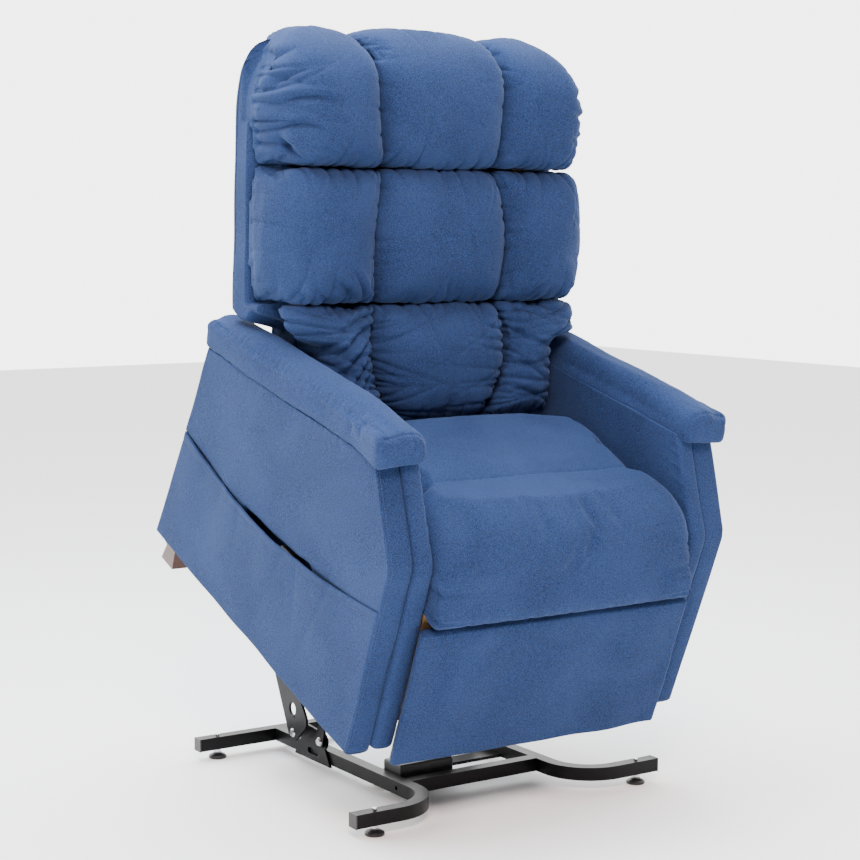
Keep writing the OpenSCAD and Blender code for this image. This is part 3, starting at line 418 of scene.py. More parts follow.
def gathers(along, inward, seed, count, span, reach, width, depth, slant=0.25):
    """Creases that run in from a gathered seam. Each has its own place, width, length and slant. Its depth falls
    off with the distance in as exp(-inward / reach), and to its sides as exp(-(offset / width) ^ 1.3)."""
    dice = np.random.default_rng(seed)
    total = np.zeros_like(along)
    for k in range(count):
        middle = span[0] + (span[1] - span[0]) * (k + dice.uniform(0.15, 0.85)) / count
        offset = np.abs(along - middle - slant * dice.normal() * inward)
        total += (depth * dice.uniform(0.45, 1.25) * np.exp(-(offset / (width * dice.uniform(0.6, 1.5))) ** 1.3)
                  * np.exp(-np.maximum(inward, 0) / (reach * dice.uniform(0.35, 1.7))))
    return total


def waves(points, seed, length, size):
    """Slow unevenness of loose cloth: a sum of six sine waves with seeded directions, about length mm long."""
    dice = np.random.default_rng(seed)
    total = np.zeros(len(points))
    for k in range(6):
        course = dice.normal(size=3)
        total += np.sin(points @ (course / np.linalg.norm(course)) * 2 * math.pi / (length * dice.uniform(0.7, 1.5))
                        + dice.uniform(0, 6.3))
    return total * size / 2.5


def edge(distance, reach, depth):
    """How far a surface has rounded off at a distance from its edge: depth (1 - sqrt(1 - (1 - d / reach)^2))."""
    return depth * (1 - np.sqrt(np.clip(1 - (1 - np.clip(distance / reach, 0, 1)) ** 2, 0, 1)))


def smooth_loop(corners, count):
    """A closed curve through corner points: Catmull-Rom, the cubic whose slope at each corner is half the step
    between its neighbours, sampled at even spacing along its length."""
    corners = np.asarray(corners, float)
    fine = np.linspace(0, len(corners), count * 8, endpoint=False)
    k = fine.astype(int)
    t = (fine - k)[:, None]
    before, here, after, beyond = (corners[(k + i) % len(corners)] for i in (-1, 0, 1, 2))
    curve = 0.5 * (2 * here + (after - before) * t + (2 * before - 5 * here + 4 * after - beyond) * t ** 2
                   + (3 * here - before - 3 * after + beyond) * t ** 3)
    closed = np.vstack([curve, curve[:1]])
    run = np.concatenate([[0], np.cumsum(np.linalg.norm(np.diff(closed, axis=0), axis=1))])
    at = np.linspace(0, run[-1], count, endpoint=False)
    return np.stack([np.interp(at, run, closed[:, i]) for i in range(corners.shape[1])], -1)


def settle(piece, *nodes, fill=None):
    """Puts a finished piece in its place on the chair: vertices into the frame, on its body, for its CAD nodes."""
    place = {"chair": chair, "back": back}[piece["place"]]
    move_points(piece, place(points_of(piece)) * 1000)
    piece.data.polygons.foreach_set("use_smooth", np.ones(len(piece.data.polygons), bool))
    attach(piece, piece["rides"])
    if nodes:
        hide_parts(*nodes)
    return piece


def stitches(name, path, place, body, pitch=5.5, length=4.2, thick=0.55):
    """A row of stitches along a path of points: each is a six-sided spindle, length mm long, sunk by half its
    thickness, with pitch mm from one to the next."""
    path = np.asarray(path, float)
    run = np.concatenate([[0], np.cumsum(np.linalg.norm(np.diff(path, axis=0), axis=1))])
    at = np.arange(pitch / 2, run[-1], pitch)
    middle = np.stack([np.interp(at, run, path[:, i]) for i in range(3)], -1)
    course = np.stack([np.interp(at + 1, run, path[:, i]) - np.interp(at - 1, run, path[:, i]) for i in range(3)], -1)
    course /= np.maximum(np.linalg.norm(course, axis=1, keepdims=True), 1e-9)
    side = np.cross(course, [0.3, 0.5, 0.8])
    side /= np.linalg.norm(side, axis=1, keepdims=True)
    rise = np.cross(course, side)
    turn = np.arange(6) * math.pi / 3
    stations = np.array([[-0.5, 0.35], [-0.25, 1], [0.25, 1], [0.5, 0.35]])
    rings = (middle[:, None, None] + course[:, None, None] * (stations[:, 0] * length)[None, :, None, None]
             + thick * stations[None, :, 1, None, None] * (side[:, None, None] * np.cos(turn)[None, None, :, None]
                                                           + rise[:, None, None] * np.sin(turn)[None, None, :, None]))
    count = len(middle)
    one = []
    for r in range(3):
        one += [[r * 6 + k, r * 6 + (k + 1) % 6, (r + 1) * 6 + (k + 1) % 6, (r + 1) * 6 + k] for k in range(6)]
    one = np.array(one)
    quads = (one[None] + np.arange(count)[:, None, None] * 24).reshape(-1, 4)
    caps = (np.array([[5, 4, 3, 2, 1, 0], [18, 19, 20, 21, 22, 23]])[None]
            + np.arange(count)[:, None, None] * 24).reshape(-1, 6)
    mesh = bpy.data.meshes.new(name)
    mesh.from_pydata((rings.reshape(-1, 3) / 1000).tolist(), [], quads.tolist() + caps.tolist())
    mesh.materials.append(thread)
    made = bpy.data.objects.new(name, mesh)
    scene.collection.objects.link(made)
    made["place"], made["rides"] = place.__name__, body
    settle(made)
    return made


def ramp(value, start, end):
    """Smooth step from 0 at start to 1 at end: t t (3 - 2 t)."""
    t = np.clip((value - start) / (end - start), 0, 1)
    return t * t * (3 - 2 * t)


def spaced(count):
    """Numbers from 0 to 1, closer together near both ends: (1 - cos(pi t)) / 2."""
    return (1 - np.cos(np.linspace(0, math.pi, count))) / 2


# ---- Back cushions ----

ROWS = [(54, 288), (288, 540), (540, 797)]
SEAMS = [((54, 84), (192, 154), (288, 136)), ((288, 136), (432, 146), (540, 126)), ((540, 126), (660, 139), (797, 145))]
REAR = -62.0


def column(row, w):
    """Half the width of the middle cushion: a parabola through its width at the row's foot, middle and head."""
    (a, fa), (b, fb), (c, fc) = SEAMS[row]
    return (fa * (w - b) * (w - c) / ((a - b) * (a - c)) + fb * (w - a) * (w - c) / ((b - a) * (b - c))
            + fc * (w - a) * (w - b) / ((c - a) * (c - b)))


def side(row, w):
    """Half the width of the whole row. The lower row fits between the arms. The others are drawn in at their seams,
    and the top one runs round a long corner."""
    foot, head = ROWS[row]
    if row == 0:
        return np.full_like(w, 268.0)
    bulge = 17 * np.sin(math.pi * np.clip((w - foot) / (head - foot), 0, 1)) ** 0.7
    corner = edge(head - w, 175, 108) if row == 2 else 0
    return 333 + bulge - corner


def cover(w):
    """Half the width of the outer back: between the arms, then above them, then round its top corners."""
    return 267 + 81 * ramp(w, 244, 274) - edge(797 - w, 92, 70) - 7 * ramp(w, 560, 797)


def limits(row, part, w):
    """Left and right edges of one cushion at a height up the back."""
    inner, outer = column(row, w), side(row, w)
    return [(-outer, -inner - 0.4), (-inner + 0.4, inner - 0.4), (inner + 0.4, outer)][part]


def rear_at(row, part, x, w):
    """How far back a cushion goes: its cover wraps 45 mm round the side of the back, and 75 mm over the top."""
    left, right = limits(row, part, w)
    past = {0: x - left, 1: np.full_like(x, 999.0), 2: right - x}[part]
    return REAR + 45 * (1 - ramp(past, 0, 46)) * (row > 0) + 75 * (row == 2) * ramp(w, 712, 797)


def crown(row, part, x, w, front):
    """The cushion's front: it rounds off towards each edge, and the four fall-offs join as (sum e^2.2)^(1/2.2)."""
    foot, head = ROWS[row]
    left, right = limits(row, part, w)
    outside = ((60, 76), (70, 171), (86, 171))[row]
    falls = [edge(x - left, *(outside if part == 0 else (74, 62))),
             edge(right - x, *(outside if part == 2 else (74, 62))),
             edge(w - foot, 62, 60 if row else 78),
             edge(head - w, *((152, 201) if row == 2 else (92, 56)))]
    return np.minimum(-front + sum(f ** 2.2 for f in falls) ** (1 / 2.2), rear_at(row, part, x, w))


PLEATS = {
    (2, 0): [((-338, 606), (-303, 614), (-262, 598), 11), ((-340, 650), (-296, 666), (-226, 646), 11),
             ((-338, 678), (-322, 704), (-278, 718), 10), ((-334, 712), (-320, 738), (-284, 756), 9),
             ((-336, 602), (-322, 566), (-280, 545), 14), ((-334, 590), (-318, 570), (-292, 556), 6)],
    (2, 2): [((338, 640), (312, 646), (286, 640), 8), ((340, 596), (316, 604), (292, 600), 8),
             ((330, 690), (306, 688), (286, 676), 5)],
    (1, 0): [((-205, 292), (-222, 316), (-262, 342), 9), ((-176, 294), (-196, 330), (-226, 366), 9),
             ((-300, 291), (-306, 306), (-324, 318), 7), ((-252, 292), (-268, 306), (-296, 316), 6)],
    (1, 2): [((190, 292), (206, 316), (232, 336), 6), ((282, 291), (300, 306), (322, 314), 7)],
    (0, 0): [((-150, 268), (-196, 262), (-262, 222), 11), ((-156, 246), (-206, 226), (-264, 172), 11),
             ((-158, 222), (-204, 188), (-262, 118), 10), ((-160, 196), (-198, 150), (-250, 84), 9),
             ((-156, 282), (-216, 284), (-300, 268), 9), ((-160, 168), (-188, 126), (-224, 76), 8),
             ((-158, 140), (-176, 108), (-196, 72), 7)],
    (0, 2): [((152, 276), (206, 272), (262, 236), 9), ((196, 287), (246, 280), (296, 262), 9),
             ((156, 236), (206, 214), (262, 192), 6), ((160, 176), (206, 156), (258, 118), 6),
             ((156, 120), (196, 112), (240, 84), 6)],
}


def pleat(x, w, a, b, c, depth):
    """A fold along a bent line from a through b to c (a quadratic curve). It is a narrow valley, deepest at a third
    of its length, with a soft ridge along its upper side: d exp(-(s / 4)^1.2) - 0.45 d exp(-((s - 11) / 7)^2)."""
    a, b, c = map(np.array, (a, b, c))
    t = np.linspace(0, 1, 60)[:, None]
    line = (1 - t) ** 2 * a + 2 * t * (1 - t) * (2 * b - (a + c) / 2) + t ** 2 * c
    near = np.full(len(x), 1e9)
    share, over = np.zeros(len(x)), np.zeros(len(x))
    for k in range(59):
        run = line[k + 1] - line[k]
        length = float(np.hypot(*run))
        along = np.clip(((x - line[k, 0]) * run[0] + (w - line[k, 1]) * run[1]) / length ** 2, 0, 1)
        gap = np.stack([x - line[k, 0] - along * run[0], w - line[k, 1] - along * run[1]])
        far = np.hypot(*gap)
        closer = far < near
        near[closer] = far[closer]
        share[closer] = ((k + along) / 59)[closer]
        sign = np.sign(run[0] * gap[1] - run[1] * gap[0]) * np.sign(run[0])
        over[closer] = sign[closer]
    fade = ramp(share, -0.12, 0.25) * (1 - ramp(share, 0.45, 1))
    ridge = np.exp(-((near * over - 11) / 7) ** 2)
    return depth * fade * (np.exp(-(near / 4) ** 1.2) - 0.45 * ridge)


def back_cushion(row, part):
    """One stuffed cushion of the back: rings up its height, each a front curve, two walls and a flat rear. The outer
    two of the lower row flare by 60 mm over the arm pads, from a line that clears the pads when the back leans."""
    foot, head = ROWS[row]
    front = (194, 188, 188)[row] - 9
    w = foot + 0.5 + (head - foot - 1) * spaced(84)
    t, wall = spaced(72), np.linspace(0, 1, 14)[1:-1]
    left, right = limits(row, part, w)
    x = left[:, None] + (right - left)[:, None] * t
    y = crown(row, part, x, w[:, None], front)
    behind = rear_at(row, part, x, w[:, None]) + 0.6
    y = np.minimum(y, behind - 0.5)
    loop_x = [x, right[:, None] + 0 * wall, x[:, ::-1], left[:, None] + 0 * wall]
    loop_y = [y, y[:, -1:] + (behind[:, -1:] - y[:, -1:]) * wall, behind[:, ::-1],
              behind[:, :1] + (y[:, :1] - behind[:, :1]) * wall]
    x, y = np.concatenate(loop_x, 1), np.concatenate(loop_y, 1)
    rings = np.stack([x, y, np.broadcast_to(w[:, None], x.shape)], -1)
    if row == 2:
        notch = (edge(x - left[:, None], 50, 24) if part else 0) + (edge(right[:, None] - x, 50, 24) if part < 2 else 0)
        rings[:, :, 2] -= notch * ramp(w[:, None], 690, 797)
    name = ("lower", "middle", "top")[row] + "_back_cushion_" + ("left", "centre", "right")[part]
    made = skin(name, rings, back, "back")

    def keep_in(p):
        p[:, 2] = np.clip(p[:, 2], foot + 0.4, head - 0.4 if row < 2 else head + 3)
        low, high = limits(row, part, np.clip(p[:, 2], foot, head))
        p[:, 0] = np.clip(p[:, 0], low - (4 if row and part == 0 else 0), high + (4 if row and part == 2 else 0))
        p[:, 1] = np.minimum(p[:, 1], rear_at(row, part, p[:, 0], p[:, 2]) + 2)
        return p

    plump(made, 5.5, 22, keep_in, lambda p: ramp(rear_at(row, part, p[:, 0], p[:, 2]) - p[:, 1], 0, 30))
    p = points_of(made)
    x, y, w = p.T
    if row == 0 and part != 1:
        start = np.maximum(206, 277 + 1.2 * np.minimum(0, y + 80))
        p[:, 0] = x + np.sign(x) * 60 * ramp(w, start, start + 28) * np.clip((np.abs(x) - 150) / 118, 0, 1)
        move_points(made, p)
    left, right = limits(row, part, np.clip(w, foot, head))
    seed = 10 * row + part
    depth = gathers(x, w - foot, seed, 9, (left.min(), right.max()), 34, 3.8, 8.0)
    depth += gathers(x, head - w, seed + 100, 8, (left.min(), right.max()), 36 if row < 2 else 12, 3.8,
                     7.0 if row < 2 else 1.5)
    rows_of = {0: (15, 46, 7.5), 1: (7, 20, 4.0), 2: (6, 20, 4.0)}[row]
    for distance, outside, k in ((x - left, part == 0, 200), (right - x, part == 2, 300)):
        if outside and row == 2:
            depth += gathers(w, distance, seed + k, 7, (foot + 20, head - 60), 46, 4.5, 10, 0.35)
        elif outside and row == 1:
            depth += gathers(w, distance, seed + k, 4, (foot, head), 26, 4, 3)
        else:
            depth += gathers(w, distance, seed + k, rows_of[0], (foot + 12, head - 12), rows_of[1], 3.6, rows_of[2])
    for a, b, c, size in PLEATS.get((row, part), ()):
        depth += pleat(x, w, a, b, c, size)
    ahead = rear_at(row, part, x, w) - y
    depth *= ramp(ahead, 2, 20)
    depth += waves(p, seed + 400, 150, 1.6) * ramp(ahead, 2, 40)
    dent(made, depth)
    return settle(made, fill=0.85)


cushions = [[back_cushion(row, part) for part in range(3)] for row in range(3)]
for row, node in enumerate(("back_cushion_lower", "back_cushion_middle", "back_cushion_top")):
    for made in cushions[row]:
        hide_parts(node)

# ---- Outer back ----


def outer_back():
    """The cover over the back's frame: rings up its height, each a rounded rectangle, narrow between the arms and
    wide above them, with its rear rounded over at the top and a little fullness in the panel."""
    w = np.concatenate([np.linspace(58, 740, 190), 740 + 36 * spaced(24)[1:]])
    half = cover(w)
    rear = 55 - edge(785 - w, 150, 76) - edge(w - 58, 8, 8)
    q = np.linspace(0, 1, 120)
    corner = np.linspace(0, math.pi / 2, 14)
    r = np.full_like(w, 20.0)
    across = -half[:, None] + r[:, None] + 2 * (half - r)[:, None] * q
    full = rear[:, None] + 5 * (np.sin(math.pi * q) ** 0.6)[None, :] * np.minimum(1, (777 - w) / 60)[:, None]
    turn_in_x = r[:, None] * np.sin(corner)
    turn_in_y = r[:, None] * (1 - np.cos(corner))
    wall = np.linspace(0, 1, 24)
    x = [across, (half - r)[:, None] + turn_in_x, np.broadcast_to(half[:, None], (len(w), 24)),
         half[:, None] * np.linspace(1, -1, 40)[1:-1], np.broadcast_to(-half[:, None], (len(w), 24)),
         -(half - r)[:, None] - turn_in_x[:, ::-1]]
    edge_y = rear[:, None] - r[:, None]
    y = [full, full[:, -1:] - turn_in_y, edge_y + (-56 - edge_y) * wall, np.full((len(w), 38), -56.0),
         -56 + (edge_y + 56) * wall, full[:, :1] - turn_in_y[:, ::-1]]
    x, y = np.concatenate(x, 1), np.concatenate(y, 1)
    rings = np.stack([x, y, np.broadcast_to(w[:, None], x.shape)], -1)
    lower = w[:, None] + 18 * ramp(-y, -50, -10) * (1 - ramp(-y, 8, 36))
    rings[:, :, 0] *= cover(np.minimum(lower, np.maximum(w, 300)[:, None])) / half[:, None]
    half = np.maximum(half, cover(np.minimum(w + 18, 300)))
    room = (half - 47 * ramp(w, 284, 290))[:, None]
    room = half[:, None] + (room - half[:, None]) * ramp(-y, 11, 16)
    corners = np.minimum(half, side(2, np.clip(w, 600, 797)) - 5)[:, None]
    room = np.where(w[:, None] > 620, half[:, None] + (corners - half[:, None]) * ramp(-y, -26, -4), room)
    rings[:, :, 0] = np.clip(rings[:, :, 0], -room, room)
    made = skin("outer_back_cover", rings, back, "back")
    p = points_of(made)
    behind = ramp(p[:, 1], 20, 40)
    seam = np.exp(-np.abs(p[:, 2] - 250) / 2.2) + np.exp(-np.abs(np.abs(p[:, 0]) - 322) / 2.2) * (p[:, 2] > 290)
    depth = 2.2 * seam * behind + waves(p, 5, 190, 1.5)
    depth += behind * gathers(p[:, 0], np.abs(p[:, 2] - 250), 6, 22, (-260, 260), 16, 4, 1.4)
    depth += (np.abs(p[:, 0]) > 300) * gathers(p[:, 2], np.abs(p[:, 1] + 56), 7, 12, (300, 760), 16, 4, 1.6)
    dent(made, depth)
    return settle(made, "back_panel", fill=0.5)


outer_back()

# ---- Seat ----

seat_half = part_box("seat_cushion")[1][0] * 1000 - 0.4
TOPSTITCH = 137


def seat_cushion():
    """The seat: one closed profile, flat beneath and rolled over at the front, carried across the chair. Towards
    each side it is drawn in along its own normal by edge(d, 24, 22), and it crowns by 5 (1 - (x / half)^2)."""
    snug = 5
    profile = smooth_loop([(472, 284), (474, 330), (464, 376), (420, 406), (372, 430), (300, 443), (215, 446),
                           (137, 445), (84, 446), (34, 437), (-6, 416), (-37, 384), (-55, 345), (-59, 310),
                           (-58, 282), (-46, 271), (-22, 271), (0, 279), (120, 279), (250, 279), (380, 279)], 300)
    step = np.roll(profile, -1, 0) - np.roll(profile, 1, 0)
    inward = np.stack([step[:, 1], -step[:, 0]], -1) / np.linalg.norm(step, axis=1, keepdims=True)
    inward *= np.sign(((profile.mean(0) - profile) * inward).sum())
    x = -seat_half + 2 * seat_half * spaced(110)
    drawn = edge(seat_half - np.abs(x), 26, 22)[:, None] * (0.05 + 0.95 * ramp(profile[:, 1], 305, 355))
    drawn = drawn + snug * ramp(profile[:, 1], 290, 340)
    rings = np.empty((110, 300, 3))
    rings[:, :, 0] = x[:, None]
    rings[:, :, 1:] = profile + inward * drawn[:, :, None]
    rings[:, :, 2] += 5 * (1 - (x[:, None] / seat_half) ** 2) * ramp(rings[:, :, 2], 360, 430)
    made = skin("seat_cushion_cover", rings, chair, "chair")

    def keep_in(p):
        p[:, 0] = np.clip(p[:, 0], -seat_half, seat_half)
        p[:, 1] = np.clip(p[:, 1], -64, 474)
        p[:, 2] = np.clip(p[:, 2], 278.5 - 8 * ramp(-p[:, 1], 5, 22), 458)
        return p

    plump(made, 7, 24, keep_in, lambda p: ramp(p[:, 2], 296, 352))
    p = points_of(made)
    x, u, v = p.T
    near = np.minimum(seat_half - np.abs(x), 400)
    top = ramp(v, 400, 430)
    depth = top * (3.0 * np.exp(-np.abs(u - TOPSTITCH) / 2.4) + 3.2 * np.exp(-((u - TOPSTITCH) / 26) ** 2))
    depth += top * gathers(x, np.abs(u - TOPSTITCH), 31, 44, (-265, 265), 9, 3.2, 1.5)
    face = ramp(-u, -10, 30)
    depth += face * gathers(v, near, 33, 12, (284, 420), 34, 3.6, 6.0, 0.12)
    depth += face * gathers(x, v - 279, 34, 16, (-270, 270), 9, 4, 1.8)
    depth += waves(p, 35, 170, 1.3)
    dent(made, depth)
    settle(made, "seat_cushion", fill=0.9)
    x = np.linspace(-seat_half + 22, seat_half - 22, 80)
    height = 443.4 + 5 * (1 - (x / seat_half) ** 2)
    stitches("seat_topstitch", np.stack([x, np.full(80, TOPSTITCH - 5.0), height], -1), chair, "chair")


seat_cushion()

# ---- Leg rest pad ----

kick_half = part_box("leg_rest_pad")[1][0] * 1000 + 2


def leg_rest_pad():
    """The padded board in front: a thin rounded rectangle carried across, drawn in at both ends by edge(d, 7, 6)."""
    profile = smooth_loop([(-27, -10.5), (-34, -10.8), (-39, -8), (-41.5, -2), (-42.5, 60), (-43, 125), (-42.5, 190),
                           (-41.5, 250), (-39, 257.5), (-34, 260.5), (-27.3, 260.5), (-27, 250), (-27, 125),
                           (-27, 0)], 240)
    x = -kick_half + 2 * kick_half * spaced(100)
    drawn = edge(kick_half - np.abs(x), 8, 6)[:, None, None]
    middle = np.array([-33.5, 125])
    reach = np.abs(profile - middle).max(0)
    rings = np.empty((100, 240, 3))
    rings[:, :, 0] = x[:, None]
    rings[:, :, 1:] = middle + (profile - middle) * (1 - drawn / reach)
    made = skin("leg_rest_pad_cover", rings, chair, "leg_rest")
    p = points_of(made)
    x, u, v = p.T
    front = ramp(-u, 36, 40)
    depth = front * (waves(p, 41, 120, 1.2) - 0.6)
    depth += front * gathers(x, 260 - v, 42, 9, (-280, 280), 16, 5, 0.8)
    depth += front * gathers(v, kick_half - np.abs(x), 43, 8, (0, 250), 14, 5, 0.9)
    dent(made, depth)
    settle(made, "leg_rest_pad", fill=0.5)


leg_rest_pad()

# ---- Arms ----

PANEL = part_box("side_panel_right")[1][0] * 1000
STRIP = PANEL - 47
ARM_TOP, ARM_BACK = np.array([99.0, 523.0]), np.array([728.0, 446.0])
FALL = math.atan2(ARM_TOP[1] - ARM_BACK[1], ARM_BACK[0] - ARM_TOP[0])


def arm_front(v):
    """How far back the arm's front edge is at a height: straight up to the elbow, then straight to the arm pad."""
    return np.interp(v, [0, 366, 382, 523], [0, -8.6, -4, 99])


def on_arm(p, q):
    """A point of the arm's side: straight from the front edge (p = 0) to the rear edge (p = 1), q of the way up."""
    v_front, v_rear = 523 * q, 446 * q
    u_front, u_rear = arm_front(v_front), 813 - 85 * q
    return u_front + p * (u_rear - u_front), v_front + p * (v_rear - v_front)


def mouth(u):
    """The side pocket's mouth: a line from front to rear that sags by a parabola of 40 mm."""
    t = np.clip((u + 3) / 760, 0, 1)
    return 291 - 38 * t - 160 * t * (1 - t)


def mirrored(rings, hand):
    """Rings for the right arm, or their mirror image for the left one."""
    return rings * np.array([1 if hand == "right" else -1, 1, 1])


def outer_panel(hand):
    """The arm's outer side: a padded slab 13 mm thick, whose rings go along the outside and back along the inside.
    On the left it steps in by 3.6 mm under the pocket, and sinks 32 mm to hold what the pocket carries."""
    q = np.concatenate([spaced(12)[:6] * 0.04, np.linspace(0.012, 1, 130)])
    p = np.concatenate([np.linspace(0, 0.02, 8)[:-1], np.linspace(0.02, 0.98, 190), np.linspace(0.98, 1, 8)[1:]])
    u, v = on_arm(p[None, :], q[:, None])
    span = 800
    outside = PANEL - edge(p[None, :] * span, 5, 5) - edge((1 - p[None, :]) * span, 9, 9) - edge(v + 0.4, 5, 5)
    inside = np.full_like(outside, PANEL - 13.6)
    if hand == "left":
        below = ramp(mouth(u) + 2 - v, 0, 5)
        sunk = (ramp(u, 226, 234) * ramp(-u, -484, -476) * ramp(v, 71, 79) * ramp(mouth(u) + 5 - v, 0, 6))
        outside = outside - 3.6 * below - 28 * sunk
        inside = np.minimum(inside, outside - 1.5)
    take = slice(None, None, -1)
    rings = np.concatenate([np.stack([outside, u, v], -1), np.stack([inside, u, v], -1)[:, take]], 1)
    made = skin("outer_arm_panel_" + hand, mirrored(rings, hand), chair, "chair")
    points = points_of(made)
    depth = waves(points, 51 + (hand == "left"), 160, 1.4)
    depth += 1.2 * gathers(points[:, 1], ARM_TOP[1] - points[:, 2] - (points[:, 1] - 99) * math.tan(FALL), 52, 26,
                           (110, 730), 12, 5, 1.0)
    dent(made, depth * ramp(np.abs(points[:, 0]), PANEL - 10, PANEL - 3))
    settle(made, "side_panel_" + hand, fill=0.4)


def front_strip(hand):
    """The flat strip down the front of the arm: rings up its height, each a flat pad 46 mm wide and 13 mm deep."""
    v = np.concatenate([spaced(12)[:6] * 12, np.linspace(4, 523, 130)])
    profile = smooth_loop([(STRIP + 0.6, 11), (STRIP + 0.7, 3.5), (STRIP + 4, 0.2), (STRIP + 14, -1.6),
                           (STRIP + 24, -2), (STRIP + 34, -1.6), (PANEL - 4, 0), (PANEL - 0.4, 3),
                           (PANEL - 0.4, 9), (PANEL - 12, 13), (PANEL - 24, 13), (STRIP + 8, 13)], 90)
    inset = edge(v, 5, 5)[:, None]
    rings = np.empty((len(v), 90, 3))
    rings[:, :, 0] = profile[:, 0] + (STRIP + 23 - profile[:, 0]) * inset / 23
    rings[:, :, 1] = arm_front(v)[:, None] + profile[:, 1] + inset * 0.4
    rings[:, :, 2] = v[:, None]
    made = skin("front_arm_strip_" + hand, mirrored(rings, hand), chair, "chair")
    points = points_of(made)
    dent(made, waves(points, 61, 130, 0.9))
    settle(made, fill=0.5)
    line = np.linspace(10, 515, 120)
    for k, x in enumerate((STRIP + 5.0, PANEL - 5.0)):
        path = np.stack([np.full(120, x), arm_front(line) - 0.9, line], -1)
        stitches(f"strip_stitches_{hand}_{k}", mirrored(path, hand), chair, "chair")


def inner_roll(hand):
    """The arm's inner side: rings up its height, each a soft round nose in front of a straight slab, which swells
    by 3 mm at the elbow and runs up inside the arm pad."""
    q = np.concatenate([spaced(16)[:8] * 0.05, np.linspace(0.026, 1, 120)])
    inner = seat_half + 2.2
    mid, reach = (inner + STRIP) / 2, (STRIP - inner) / 2
    turn = np.linspace(0, math.pi, 60)
    nose_x = mid + reach * np.sign(np.cos(turn)) * np.abs(np.cos(turn)) ** 0.7
    nose_u = -np.abs(np.sin(turn)) ** 0.5 * 22
    slab = np.linspace(0, 1, 120)[1:]
    rings = []
    for share in q:
        v_front, v_rear = 6 + 528 * share, 6 + 458 * share
        u_front, u_rear = float(arm_front(min(v_front, 523))) + 13, 797 - 80 * share
        pull = float(edge(share * 528, 10, 9))
        x = np.concatenate([nose_x, np.full(119, inner), np.full(39, STRIP - 0.6)])
        p = np.concatenate([nose_u / (u_rear - u_front), slab, np.linspace(1, 0, 40)[:-1]])
        fuller = 7 * (1 - float(ramp(v_front, 240, 276))) * np.clip((mid - x) / reach, 0, 1)
        rings.append(np.stack([x + (mid - x) * pull / reach * 0.5 - fuller,
                               u_front + p * (u_rear - u_front) + pull * 0.4,
                               v_front + p * (v_rear - v_front)], -1))
    made = skin("inner_arm_pad_" + hand, mirrored(np.array(rings), hand), chair, "chair")
    points = points_of(made)
    x, u, v = np.abs(points[:, 0]), points[:, 1], points[:, 2]
    nose = ramp(-(u - arm_front(np.clip(v, 0, 523))), -46, -8)
    depth = waves(points, 71, 140, 1.2)
    depth += nose * gathers(v, np.abs(x - inner), 72, 9, (400, 520), 18, 3.4, 2.6, 0.1)
    depth += ramp(-x, -inner - 3, -inner) * gathers(u, np.abs(v - 446), 73, 12, (120, 700), 26, 7, 0.9)
    dent(made, depth)
    settle(made, "arm_inner_" + hand, fill=0.7)


